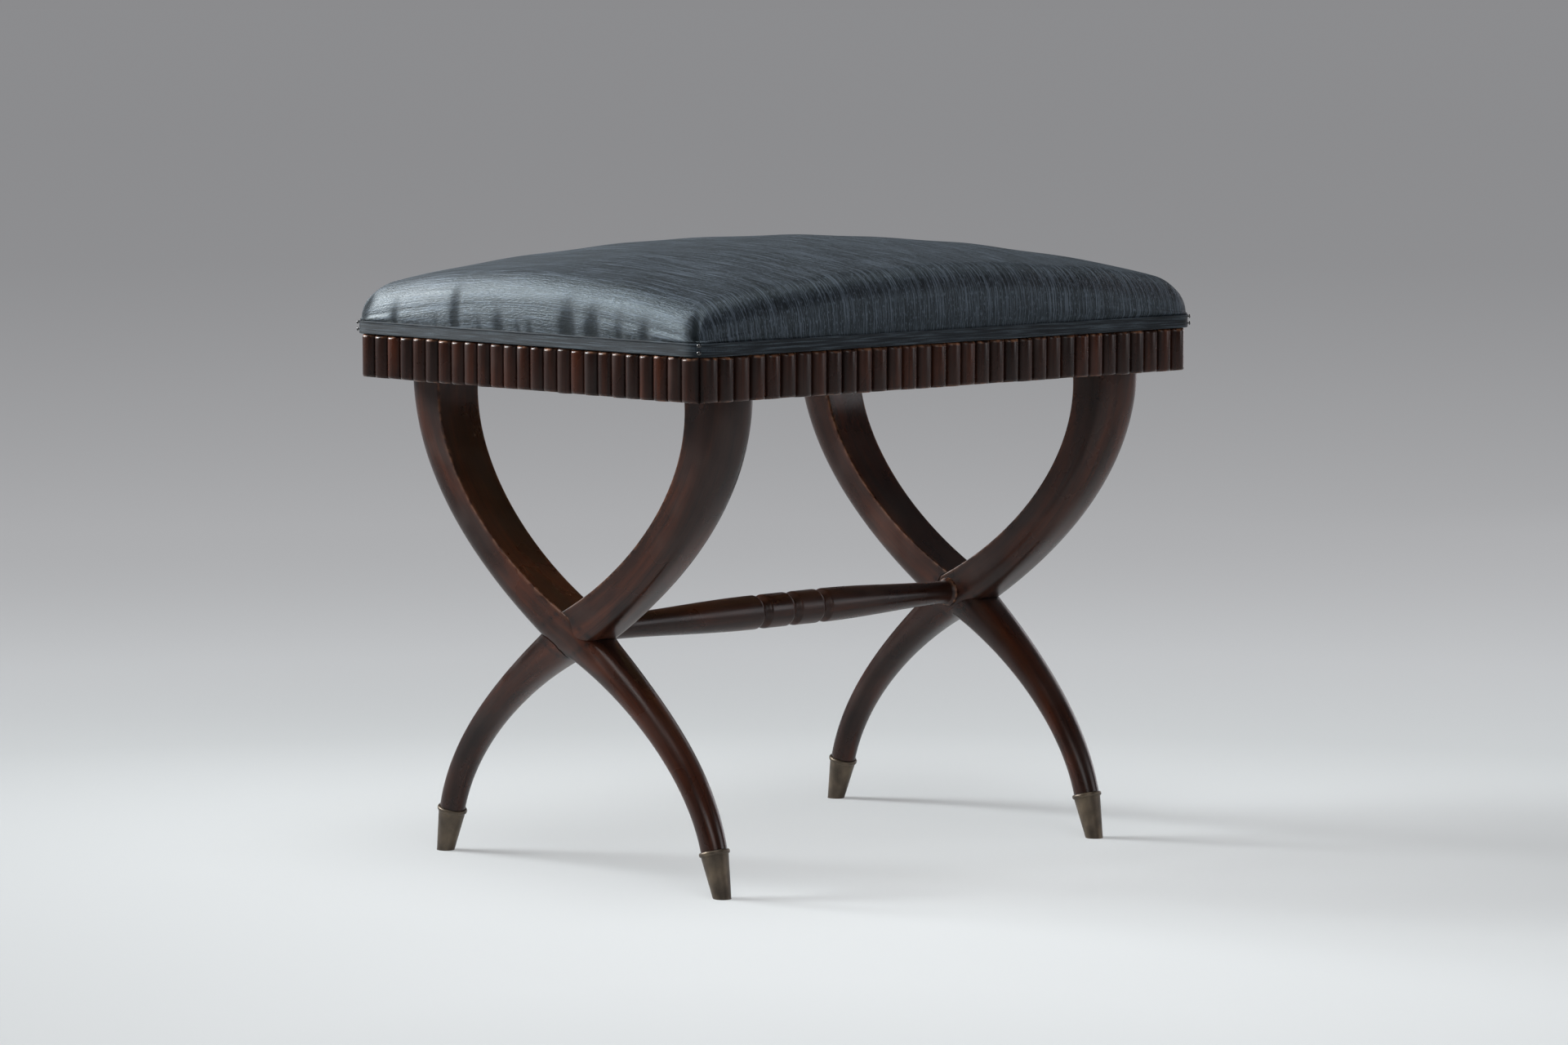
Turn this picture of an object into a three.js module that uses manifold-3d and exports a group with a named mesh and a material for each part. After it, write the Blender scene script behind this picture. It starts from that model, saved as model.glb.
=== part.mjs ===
// Stool on two curved x frames, with a reeded apron and a stuffed seat covered in horsehair cloth.
// Millimetres. X runs along the long side, Y along the short side, Z up from the floor.
import * as THREE from 'three';
import { mergeVertices } from 'three/addons/utils/BufferGeometryUtils.js';
import Module from 'manifold-3d';

const wasm = await Module();
wasm.setup();

// Clearances shared by every joint, and the overrun that all cuts share
const fitGap = 0.3;
const cutOverrun = 4;

// Apron: reeded moulding glued round the lower part of the seat frame
const frameLength = 528;
const frameWidth = 392;
const longReedCount = 33;
const shortReedCount = 25;
const reedRise = 8;
const reedSteps = 6;
const backingThickness = 6;
const apronBottom = 382;
const mouldingHeight = 34.5;

// Seat frame: two long rails with end rails tenoned between them
const longRailWidth = 48;
const endRailWidth = 40;
const railHeight = 46;
const lipSetback = 3.5;
const railTenonThickness = 12;
const railTenonLength = 26;
const railTenonHeight = 28;
const railTenonLift = 9;

// Blocks and screws in the corners of the seat frame
const blockLeg = 46;
const blockHeight = 30;
const blockLift = 8;
const screwSpacing = 32;
const screwLength = 29;
const screwHeadRadius = 4;
const screwHeadDepth = 3;
const screwShankRadius = 2;
const screwPointShare = 0.8;

// X frames: where each curved member runs, in the plane of its frame
const frameInset = 46;
const armTopReach = 94;
const crossingHeight = 188.5;
const crossingSlope = THREE.MathUtils.degToRad(26.5);
const armCrossReach = 64.5;
const legCrossReachShare = 0.05;
const legFootReachShare = 0.467;
const footLean = THREE.MathUtils.degToRad(14.5);
const ferruleHeight = 36;
const armSteps = 12;
const legSteps = 14;
const ringPoints = 16;

// The two frames were shaped by eye: the feet of the left one stand wider apart
const leftFootSpread = 164;
const rightFootSpread = 152;

// X frames: depth of a member in the frame's plane, and thickness across it
const armTopDepth = 43.5;
const armTopThickness = 42;
const armMidDepth = 31;
const armMidThickness = 39.5;
const crossingDepth = 34.75;
const crossingThickness = 36.5;
const legMidDepth = 22;
const legMidThickness = 29;
const footDiameter = 20.5;

// Section shape as shares: a low corner share is a sharp arris and 1 is fully round
const armArrisShare = 0.05;
const crossingArrisShare = 0.07;
const armRoundShare = 0.85;
const crossingRoundShare = 0.5;
const widestLineShare = 0.1;
const legRoundingPower = 0.3;

// Joints of the x frames
const lapFaceGap = 0.6;
const armTenonThickness = 26;
const armTenonDepth = 20;
const armTenonLength = 30;

// Brass ferrules, sleeved over a tapered spigot on each foot
const ferruleBeadRadius = 12;
const ferruleBeadHeight = 3.6;
const ferruleNeckRadius = 10.8;
const ferruleTipRadius = 7;
const ferruleWall = 1.3;
const ferruleBase = 3;
const ferruleBeadShares = [0.25, 0.75];

// Turned stretcher between the two crossings, a little above their middle
const stretcherLift = 2.5;
const stretcherMiddleRadius = 13.8;
const stretcherNeckRadius = 9.4;
const stretcherRingRadius = 11.6;
const stretcherRingWidth = 5;
const stretcherRingSeat = 2.5;
const stretcherTenonRadius = 7;
const stretcherTenonLength = 24;
const grooveSpacing = 33.5;
const grooveHalfWidth = 4.5;
const grooveDepth = 4;
const bandsOffCentre = 11.5;
const ringRoundShare = 0.25;
const stretcherSwellSteps = 7;
const turnedSides = 24;

// Webbing and hessian that carry the stuffing
const webWidth = 50;
const webThickness = 1.6;
const webEndLap = 28;
const webRampLength = 10;
const webShoulder = 2;
const longWebCount = 3;
const crossWebCount = 5;
const webMargin = 25;
const hessianThickness = 1.2;
const hessianInset = 8;

// Seat: crown, rounded shoulder and covered sides
const cornerRise = 0.4;
const crownFallLong = 22;
const crownFallWide = 19;
const shoulderRadius = 23.4;
const coverThickness = 1.2;
const coverHang = 1.5;
const sideSwell = 0.9;
const seatCornerSteps = 6;
const seatLongSteps = 8;
const seatShortSteps = 5;
const cornerPower = 4;

// Woven band round the foot of the cover, and the two pins at each corner
const bandHeight = 10.2;
const bandThickness = 2;
const pinHeadRadius = 1.7;
const pinHeadHeight = 1.4;
const pinCrownRadiusShare = 0.8;
const pinCrownHeightShare = 0.6;
const pinLift = 3.2;
const pinShankRadius = 0.6;
const pinShankLength = 8;
const pinSpacing = 5.5;
const smallSides = 8;

// Sizes that follow from the ones above
const halfLength = frameLength / 2;
const halfWidth = frameWidth / 2;
const railOuterX = halfLength - backingThickness;
const railOuterY = halfWidth - backingThickness;
const railInnerX = railOuterX - endRailWidth;
const railInnerY = railOuterY - longRailWidth;
const armTopSpread = railOuterY - longRailWidth / 2;
const railTop = apronBottom + railHeight;
const lipX = halfLength + reedRise - lipSetback;
const lipY = halfWidth + reedRise - lipSetback;
const lipBottom = apronBottom + mouldingHeight + fitGap;
const coverOutX = lipX + fitGap + coverThickness;
const coverOutY = lipY + fitGap + coverThickness;
const bandBottom = lipBottom;
const coverBottom = bandBottom + coverHang;
const bandTop = bandBottom + bandHeight;
const seatTop = bandTop + cornerRise + shoulderRadius + crownFallLong + crownFallWide;
const frameHalfSpacing = railOuterX - frameInset;
const webShift = (webThickness + fitGap) / 2;
const outerWebX = railInnerX - webMargin - webWidth / 2;
const outerWebY = railInnerY - webMargin - webWidth / 2;
const crossWebPitch = 2 * outerWebX / (crossWebCount - 1);
const longWebPitch = 2 * outerWebY / (longWebCount - 1);
const hessianBottom = railTop + webThickness + webShift + fitGap;
const stuffingBottom = hessianBottom + hessianThickness + fitGap;

// Finishes
function finish(color, roughness, metalness = 0) {
  return new THREE.MeshStandardMaterial({ color, roughness, metalness });
}

const rosewood = finish(0x5a3528, 0.35);
const agedBrass = finish(0x8c8577, 0.5, 0.8);
const beech = finish(0xb08a5c, 0.75);
const steel = finish(0x77726a, 0.45, 0.9);
const webbing = finish(0xa38a62, 0.95);
const hessian = finish(0x9a7c50, 0.95);
const curledHair = finish(0x3a2c22, 1);
const horsehairCloth = finish(0x2c3338, 0.45);
const wovenBand = finish(0x30373b, 0.7);
const darkBead = finish(0x15181a, 0.15, 0.4);

// Closed solids as manifolds, and back again
function solidFrom(geometry) {
  const bare = geometry.clone();
  bare.deleteAttribute('normal');
  bare.deleteAttribute('uv');
  const merged = mergeVertices(bare);
  return new wasm.Manifold(new wasm.Mesh({
    numProp: 3,
    vertProperties: new Float32Array(merged.attributes.position.array),
    triVerts: new Uint32Array(merged.index.array),
  }));
}

function geometryFrom(solid) {
  const mesh = solid.getMesh();
  const geometry = new THREE.BufferGeometry();
  geometry.setAttribute('position', new THREE.BufferAttribute(new Float32Array(mesh.vertProperties), 3));
  geometry.setIndex(new THREE.BufferAttribute(new Uint32Array(mesh.triVerts), 1));
  geometry.computeVertexNormals();
  return geometry;
}

function cutAway(geometry, cutters) {
  const solid = cutters.reduce((left, cutter) => left.subtract(solidFrom(cutter)), solidFrom(geometry));
  return geometryFrom(solid);
}

function joinUp(geometry, others) {
  const solid = others.reduce((whole, other) => whole.add(solidFrom(other)), solidFrom(geometry));
  return geometryFrom(solid);
}

function overlapOf(geometry, other) {
  return geometryFrom(solidFrom(geometry).intersect(solidFrom(other)));
}

// A box between two corners
function boxBetween(low, high) {
  const size = new THREE.Vector3().subVectors(high, low);
  const middle = new THREE.Vector3().addVectors(low, high).multiplyScalar(0.5);
  return new THREE.BoxGeometry(size.x, size.y, size.z).translate(middle.x, middle.y, middle.z);
}

// A plan outline raised from one height to another
function raisePlan(points, bottom, top) {
  const shape = new THREE.Shape(points);
  const geometry = new THREE.ExtrudeGeometry(shape, { depth: top - bottom, bevelEnabled: false, steps: 1 });
  return geometry.translate(0, 0, bottom);
}

// A turned solid whose axis runs along a direction from a point
function turned(profile, sides, from, direction) {
  const geometry = new THREE.LatheGeometry(profile, sides);
  const up = new THREE.Vector3(0, 1, 0);
  const turn = new THREE.Quaternion().setFromUnitVectors(up, direction.clone().normalize());
  return geometry.applyQuaternion(turn).translate(from.x, from.y, from.z);
}

// A closed body through rings of equal count, with a fan over each end
function loft(rings) {
  const count = rings[0].length;
  const positions = rings.flat().flatMap((point) => point.toArray());
  const indices = [];
  for (let ring = 0; ring < rings.length - 1; ring += 1) {
    for (let step = 0; step < count; step += 1) {
      const here = ring * count + step;
      const next = ring * count + (step + 1) % count;
      indices.push(here, next, next + count, here, next + count, here + count);
    }
  }
  const ends = [[0, true], [rings.length - 1, false]];
  for (const [ring, flipped] of ends) {
    const middle = new THREE.Vector3();
    for (const point of rings[ring]) middle.addScaledVector(point, 1 / count);
    const centre = positions.length / 3;
    positions.push(...middle.toArray());
    for (let step = 0; step < count; step += 1) {
      const here = ring * count + step;
      const next = ring * count + (step + 1) % count;
      indices.push(...(flipped ? [centre, next, here] : [centre, here, next]));
    }
  }
  const geometry = new THREE.BufferGeometry();
  geometry.setAttribute('position', new THREE.BufferAttribute(new Float32Array(positions), 3));
  geometry.setIndex(signedVolume(positions, indices) < 0 ? indices.reverse() : indices);
  return geometry;
}

function signedVolume(positions, indices) {
  let total = 0;
  for (let corner = 0; corner < indices.length; corner += 3) {
    const [a, b, c] = indices.slice(corner, corner + 3)
      .map((index) => new THREE.Vector3().fromArray(positions, index * 3));
    total += a.dot(b.cross(c));
  }
  return total;
}

// Goes through three values at the start, middle and end of a run
function throughThree(start, middle, end, share) {
  const early = 2 * (share - 0.5) * (share - 1);
  const centre = 4 * share * (1 - share);
  const late = 2 * share * (share - 0.5);
  return start * early + middle * centre + end * late;
}

// Section of a curved member: flat with two arrises on one side and rounded on the other
function sectionRing(station, topSide, growAcross, growOut) {
  const halfThickness = station.thickness / 2 + growAcross;
  const halfDepth = station.depth / 2 + growOut;
  const normal = new THREE.Vector2(station.tangent.y, -station.tangent.x);
  const ring = [];
  for (let step = 0; step < ringPoints; step += 1) {
    const angle = 2 * Math.PI * step / ringPoints;
    const side = Math.sin(angle);
    const face = Math.cos(angle);
    const onFlat = face > 0;
    const share = onFlat ? station.arrisShare : station.roundShare;
    const reach = onFlat ? 1 - station.widestShare : 1 + station.widestShare;
    const across = halfThickness * Math.sign(side) * Math.abs(side) ** share;
    const out = halfDepth * (station.widestShare + reach * Math.sign(face) * Math.abs(face) ** share);
    ring.push(new THREE.Vector3(
      across,
      topSide * (station.centre.x + normal.x * out),
      station.centre.y + normal.y * out,
    ));
  }
  return ring;
}

// Stations from the top of an arm, through the crossing, to the shoulder above the ferrule
function memberStations(footSpread) {
  const along = new THREE.Vector2(Math.cos(crossingSlope), Math.sin(crossingSlope));
  const armTop = new THREE.Vector2(armTopSpread, apronBottom);
  const crossing = new THREE.Vector2(0, crossingHeight);
  const foot = new THREE.Vector2(ferruleHeight * Math.tan(footLean) - footSpread, ferruleHeight);
  const upLeg = new THREE.Vector2(Math.sin(footLean), Math.cos(footLean));
  const arm = new THREE.CubicBezierCurve(
    armTop,
    armTop.clone().setY(apronBottom - armTopReach),
    crossing.clone().addScaledVector(along, armCrossReach),
    crossing,
  );
  const leg = new THREE.CubicBezierCurve(
    crossing,
    crossing.clone().addScaledVector(along, -crossingHeight * legCrossReachShare),
    foot.clone().addScaledVector(upLeg, crossingHeight * legFootReachShare),
    foot,
  );
  const stations = [];
  for (let step = 0; step <= armSteps; step += 1) {
    const share = step / armSteps;
    stations.push({
      centre: arm.getPointAt(share),
      tangent: arm.getTangentAt(share),
      depth: throughThree(armTopDepth, armMidDepth, crossingDepth, share),
      thickness: throughThree(armTopThickness, armMidThickness, crossingThickness, share),
      arrisShare: THREE.MathUtils.lerp(armArrisShare, crossingArrisShare, share),
      roundShare: THREE.MathUtils.lerp(armRoundShare, crossingRoundShare, share),
      widestShare: widestLineShare,
    });
  }
  for (let step = 1; step <= legSteps; step += 1) {
    const share = step / legSteps;
    const rounding = share ** legRoundingPower;
    stations.push({
      centre: leg.getPointAt(share),
      tangent: leg.getTangentAt(share),
      depth: throughThree(crossingDepth, legMidDepth, footDiameter, share),
      thickness: throughThree(crossingThickness, legMidThickness, footDiameter, share),
      arrisShare: THREE.MathUtils.lerp(crossingArrisShare, 1, rounding),
      roundShare: THREE.MathUtils.lerp(crossingRoundShare, 1, rounding),
      widestShare: widestLineShare * (1 - rounding),
    });
  }
  stations[0].tangent.set(0, -1);
  stations[stations.length - 1].tangent.copy(upLeg).negate();
  return stations;
}

// The tapered spigot continues the round foot inside the ferrule
function spigotStations(shoulder) {
  const boreLength = ferruleHeight / Math.cos(footLean) - fitGap - ferruleBase;
  const spigotLength = boreLength - fitGap;
  const boreRadius = ferruleNeckRadius - ferruleWall;
  const tipShare = (spigotLength - fitGap) / boreLength;
  const tipRadius = THREE.MathUtils.lerp(boreRadius, ferruleTipRadius - ferruleWall, tipShare);
  return [[0, boreRadius], [spigotLength, tipRadius]].map(([drop, radius]) => ({
    ...shoulder,
    centre: shoulder.centre.clone().addScaledVector(shoulder.tangent, drop),
    depth: 2 * (radius - fitGap),
    thickness: 2 * (radius - fitGap),
  }));
}

function wholeMember(topSide, footSpread, growAcross, growOut) {
  const stations = memberStations(footSpread);
  const shoulder = stations[stations.length - 1];
  stations.push(...spigotStations(shoulder));
  return loft(stations.map((station) => sectionRing(station, topSide, growAcross, growOut)));
}

// One member of an x frame: tenon on top, spigot at the foot, halved into its partner at the crossing.
// The frame's outward direction along X is outward, and the outer member keeps the outer half.
function xMember(topSide, outward, isOuter, footSpread) {
  const tenonY = topSide * armTopSpread;
  const tenon = boxBetween(
    new THREE.Vector3(-armTenonThickness / 2, tenonY - armTenonDepth / 2, apronBottom - cutOverrun),
    new THREE.Vector3(armTenonThickness / 2, tenonY + armTenonDepth / 2, apronBottom + armTenonLength),
  );
  const whole = joinUp(wholeMember(topSide, footSpread, 0, 0), [tenon]);
  const partnerSide = isOuter ? -outward : outward;
  const lapStart = partnerSide * -fitGap / 2;
  const lapEnd = partnerSide * (crossingThickness / 2 + cutOverrun);
  const lapZone = boxBetween(
    new THREE.Vector3(Math.min(lapStart, lapEnd), -armTopSpread, ferruleHeight),
    new THREE.Vector3(Math.max(lapStart, lapEnd), armTopSpread, apronBottom),
  );
  const partner = overlapOf(wholeMember(-topSide, footSpread, lapFaceGap, fitGap), lapZone);
  return cutAway(whole, [partner, stretcherSocket(outward)]);
}

// Profile of one end of the stretcher, from the middle groove outwards, as radius and distance
function stretcherEndProfile(offCentre) {
  const shoulder = frameHalfSpacing - crossingThickness / 2 + stretcherRingSeat - offCentre;
  const ringStart = shoulder - stretcherRingWidth;
  const swellStart = grooveSpacing + grooveHalfWidth;
  const points = [
    new THREE.Vector2(stretcherMiddleRadius - grooveDepth, 0),
    new THREE.Vector2(stretcherMiddleRadius, grooveHalfWidth),
    new THREE.Vector2(stretcherMiddleRadius, grooveSpacing - grooveHalfWidth),
    new THREE.Vector2(stretcherMiddleRadius - grooveDepth, grooveSpacing),
  ];
  for (let step = 0; step <= stretcherSwellSteps; step += 1) {
    const share = step / stretcherSwellSteps;
    const ease = (1 - Math.cos(Math.PI * share)) / 2;
    points.push(new THREE.Vector2(
      THREE.MathUtils.lerp(stretcherMiddleRadius, stretcherNeckRadius, ease),
      THREE.MathUtils.lerp(swellStart, ringStart, share),
    ));
  }
  points.push(
    new THREE.Vector2(stretcherRingRadius, ringStart + stretcherRingWidth * ringRoundShare),
    new THREE.Vector2(stretcherRingRadius, shoulder),
    new THREE.Vector2(stretcherTenonRadius, shoulder),
    new THREE.Vector2(stretcherTenonRadius, shoulder + stretcherTenonLength),
    new THREE.Vector2(0, shoulder + stretcherTenonLength),
  );
  return points;
}

function stretcherGeometry() {
  const leftEnd = stretcherEndProfile(-bandsOffCentre).slice(1).reverse();
  const mirrored = leftEnd.map((point) => new THREE.Vector2(point.x, -point.y));
  const start = new THREE.Vector3(bandsOffCentre, 0, crossingHeight + stretcherLift);
  const profile = [...mirrored, ...stretcherEndProfile(bandsOffCentre)];
  return turned(profile, turnedSides, start, new THREE.Vector3(1, 0, 0));
}

// Seat for the ring and bore for the tenon, in the frame's own coordinates
function stretcherSocket(outward) {
  const innerFace = -crossingThickness / 2;
  const seat = innerFace + stretcherRingSeat;
  const profile = [
    new THREE.Vector2(0, innerFace - cutOverrun),
    new THREE.Vector2(stretcherRingRadius + fitGap, innerFace - cutOverrun),
    new THREE.Vector2(stretcherRingRadius + fitGap, seat + fitGap),
    new THREE.Vector2(stretcherTenonRadius + fitGap, seat + fitGap),
    new THREE.Vector2(stretcherTenonRadius + fitGap, seat + stretcherTenonLength + fitGap),
    new THREE.Vector2(0, seat + stretcherTenonLength + fitGap),
  ];
  const start = new THREE.Vector3(0, 0, crossingHeight + stretcherLift);
  return turned(profile, turnedSides, start, new THREE.Vector3(outward, 0, 0));
}

// Hollow ferrule with a bead at its mouth, cut level with the floor
function ferruleGeometry(footSide, footSpread) {
  const length = ferruleHeight / Math.cos(footLean);
  const top = length - fitGap;
  const boreRadius = ferruleNeckRadius - ferruleWall;
  const beadStart = top - ferruleBeadHeight;
  const [beadLower, beadUpper] = ferruleBeadShares.map((share) => beadStart + ferruleBeadHeight * share);
  const profile = [
    new THREE.Vector2(0, -cutOverrun),
    new THREE.Vector2(ferruleTipRadius, -cutOverrun),
    new THREE.Vector2(ferruleTipRadius, 0),
    new THREE.Vector2(ferruleNeckRadius, beadStart),
    new THREE.Vector2(ferruleBeadRadius, beadLower),
    new THREE.Vector2(ferruleBeadRadius, beadUpper),
    new THREE.Vector2(ferruleNeckRadius, top),
    new THREE.Vector2(boreRadius, top),
    new THREE.Vector2(ferruleTipRadius - ferruleWall, ferruleBase),
    new THREE.Vector2(0, ferruleBase),
  ];
  const foot = new THREE.Vector3(0, footSide * footSpread, 0);
  const lean = new THREE.Vector3(0, -footSide * Math.sin(footLean), Math.cos(footLean));
  const belowFloor = boxBetween(
    new THREE.Vector3(-2 * ferruleBeadRadius, foot.y - 2 * ferruleBeadRadius, -ferruleHeight),
    new THREE.Vector3(2 * ferruleBeadRadius, foot.y + 2 * ferruleBeadRadius, 0),
  );
  return cutAway(turned(profile, turnedSides, foot, lean), [belowFloor]);
}

// Plan of the seat's corners: a rounded rectangle, squarer than a circle's quarter
function seatPlan(halfX, halfY, cornerReach, longSteps, shortSteps) {
  const points = [];
  const quarters = [[1, 1], [-1, 1], [-1, -1], [1, -1]];
  quarters.forEach(([signX, signY], quarter) => {
    const corner = [];
    for (let step = 0; step <= seatCornerSteps; step += 1) {
      const angle = Math.PI / 2 * step / seatCornerSteps;
      const reachX = cornerReach * (1 - Math.max(Math.cos(angle), 0) ** (2 / cornerPower));
      const reachY = cornerReach * (1 - Math.sin(angle) ** (2 / cornerPower));
      corner.push(new THREE.Vector2(signX * (halfX - reachX), signY * (halfY - reachY)));
    }
    points.push(...(quarter % 2 ? corner.reverse() : corner));
    const steps = quarter % 2 ? shortSteps : longSteps;
    const last = points[points.length - 1];
    const alongX = quarter % 2 === 0;
    const next = alongX
      ? new THREE.Vector2(-signX * (halfX - cornerReach), last.y)
      : new THREE.Vector2(last.x, -signY * (halfY - cornerReach));
    for (let step = 1; step < steps; step += 1) points.push(last.clone().lerp(next, step / steps));
  });
  return points;
}

// Height of the crowned top over a point, inset from the cover's outer face
function crownHeight(x, y, inset) {
  const radius = shoulderRadius - inset;
  const nearX = Math.max(radius - (coverOutX - inset - Math.abs(x)), 0) / radius;
  const nearY = Math.max(radius - (coverOutY - inset - Math.abs(y)), 0) / radius;
  const near = Math.min((nearX ** cornerPower + nearY ** cornerPower) ** (1 / cornerPower), 1);
  const fall = crownFallLong * (x / coverOutX) ** 2 + crownFallWide * (y / coverOutY) ** 2;
  return seatTop - inset - fall - radius * (1 - Math.sqrt(1 - near ** 2));
}

// Rings of the cover's outer or inner face, from its lower edge to the middle of the crown.
// The side stands upright behind the band and swells a little above it.
function crownRings(inset, wallShares, crownShares) {
  const plan = seatPlan(
    coverOutX - inset, coverOutY - inset, shoulderRadius - inset, seatLongSteps, seatShortSteps,
  );
  const rings = [plan.map((point) => new THREE.Vector3(point.x, point.y, coverBottom))];
  for (const share of wallShares) {
    const swell = sideSwell * Math.sin(Math.PI * share);
    rings.push(plan.map((point) => new THREE.Vector3(
      point.x * (1 + swell / coverOutX),
      point.y * (1 + swell / coverOutY),
      THREE.MathUtils.lerp(bandTop, crownHeight(point.x, point.y, inset), share),
    )));
  }
  for (const share of crownShares) {
    rings.push(plan.map((point) => {
      const x = point.x * share;
      const y = point.y * share;
      return new THREE.Vector3(x, y, crownHeight(x, y, inset));
    }));
  }
  return rings;
}

const outerWallShares = [0, 0.4, 0.8, 1];
const innerWallShares = [0, 0.5, 1];
const outerCrownShares = [0.992, 0.972, 0.94, 0.86, 0.66, 0.42, 0.16];
const innerCrownShares = [0.99, 0.96, 0.92, 0.7, 0.3];

function seatCoverGeometry() {
  const outer = crownRings(0, outerWallShares, outerCrownShares);
  const inner = crownRings(coverThickness, innerWallShares, innerCrownShares);
  return loft([...outer.reverse(), ...inner]);
}

function stuffingGeometry(bottom) {
  const inset = coverThickness + fitGap;
  const pad = loft(crownRings(inset, [0, 1], innerCrownShares));
  const below = boxBetween(
    new THREE.Vector3(-frameLength, -frameLength, 0),
    new THREE.Vector3(frameLength, frameLength, bottom),
  );
  return cutAway(pad, [below]);
}

// Woven band: a flat ring standing on the top of the moulding
function bandGeometry() {
  const plan = (reach) => seatPlan(coverOutX + reach, coverOutY + reach, shoulderRadius + reach, 1, 1);
  const shape = new THREE.Shape(plan(fitGap + bandThickness));
  shape.holes.push(new THREE.Path(plan(fitGap)));
  const geometry = new THREE.ExtrudeGeometry(shape, { depth: bandHeight, bevelEnabled: false, steps: 1 });
  return geometry.translate(0, 0, bandBottom);
}

// The two pins of a corner go through the band and the cover into the lip of the rail
function pinPlaces() {
  const reach = fitGap + bandThickness;
  const inset = (shoulderRadius + reach) * (1 - 0.5 ** (1 / cornerPower));
  const places = [];
  for (const [name, signX, signY] of corners) {
    const direction = new THREE.Vector3(signX, signY, 0).normalize();
    [0, 1].forEach((level, index) => {
      const point = new THREE.Vector3(
        signX * (coverOutX + reach - inset),
        signY * (coverOutY + reach - inset),
        bandBottom + pinLift + level * pinSpacing,
      );
      places.push({ name: `corner_pin_${name}_${index + 1}`, point, direction });
    });
  }
  return places;
}

function pinGeometry({ point, direction }) {
  const profile = [
    new THREE.Vector2(0, -pinShankLength),
    new THREE.Vector2(pinShankRadius, -pinShankLength),
    new THREE.Vector2(pinShankRadius, fitGap),
    new THREE.Vector2(pinHeadRadius, fitGap),
    new THREE.Vector2(pinHeadRadius * pinCrownRadiusShare, fitGap + pinHeadHeight * pinCrownHeightShare),
    new THREE.Vector2(0, fitGap + pinHeadHeight),
  ];
  return turned(profile, smallSides, point, direction);
}

function pinHole({ point, direction }) {
  const radius = pinShankRadius + fitGap;
  const profile = [
    new THREE.Vector2(0, -pinShankLength - fitGap),
    new THREE.Vector2(radius, -pinShankLength - fitGap),
    new THREE.Vector2(radius, cutOverrun),
    new THREE.Vector2(0, cutOverrun),
  ];
  return turned(profile, smallSides, point, direction);
}

// Corners by name, with their signs along X and Y
const corners = [
  ['front_left', -1, -1],
  ['front_right', 1, -1],
  ['back_left', -1, 1],
  ['back_right', 1, 1],
];

// Reeded moulding: half-round reeds on a backing, mitred at both ends and raised from its plan
function reededPlan(length, count) {
  const half = length / 2;
  const pitch = length / count;
  const mitre = fitGap / 2;
  const points = [
    new THREE.Vector2(-half + backingThickness + mitre, 0),
    new THREE.Vector2(half - backingThickness - mitre, 0),
    new THREE.Vector2(half - mitre, backingThickness),
  ];
  for (let reed = count - 1; reed >= 0; reed -= 1) {
    const middle = -half + (reed + 0.5) * pitch;
    for (let step = 1; step <= reedSteps; step += 1) {
      const angle = Math.PI * step / reedSteps;
      const x = Math.max(middle + pitch / 2 * Math.cos(angle), -half + mitre);
      points.push(new THREE.Vector2(x, backingThickness + reedRise * Math.sin(angle)));
    }
  }
  return points;
}

function reededMoulding(length, count) {
  return raisePlan(reededPlan(length, count), 0, mouldingHeight);
}

// Upper part of a rail: the lip that the cover is tacked to, with the seat's corners at its ends
function lipPlan() {
  const inset = fitGap + coverThickness;
  return raisePlan(seatPlan(lipX, lipY, shoulderRadius - inset, 1, 1), lipBottom, railTop);
}

// Bore for a screw or the screw itself, through a block and into a rail
function blockScrewPlaces() {
  const places = [];
  for (const [name, signX, signY] of corners) {
    const middle = new THREE.Vector3(
      signX * (railInnerX - blockLeg / 2),
      signY * (railInnerY - blockLeg / 2),
      apronBottom + blockLift + blockHeight / 2,
    );
    const direction = new THREE.Vector3(signX, signY, 0).normalize();
    const alongFace = new THREE.Vector3(-signX, signY, 0).normalize();
    [-1, 1].forEach((side, index) => {
      const point = middle.clone().addScaledVector(alongFace, side * screwSpacing / 2);
      places.push({ name: `block_screw_${name}_${index + 1}`, point, direction });
    });
  }
  return places;
}

function screwProfile(grow, lead) {
  return [
    new THREE.Vector2(0, -lead),
    new THREE.Vector2(screwHeadRadius + grow, -lead),
    new THREE.Vector2(screwHeadRadius + grow, fitGap),
    new THREE.Vector2(screwShankRadius + grow, fitGap + screwHeadDepth),
    new THREE.Vector2(screwShankRadius + grow, screwLength * screwPointShare),
    new THREE.Vector2(grow, screwLength + grow),
    new THREE.Vector2(0, screwLength + 2 * grow),
  ];
}

function screwGeometry({ point, direction }) {
  const profile = screwProfile(0, 0).filter((_, index) => index !== 5);
  return turned(profile, smallSides, point, direction);
}

function screwHole({ point, direction }) {
  return turned(screwProfile(fitGap, cutOverrun), smallSides, point, direction);
}

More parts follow.
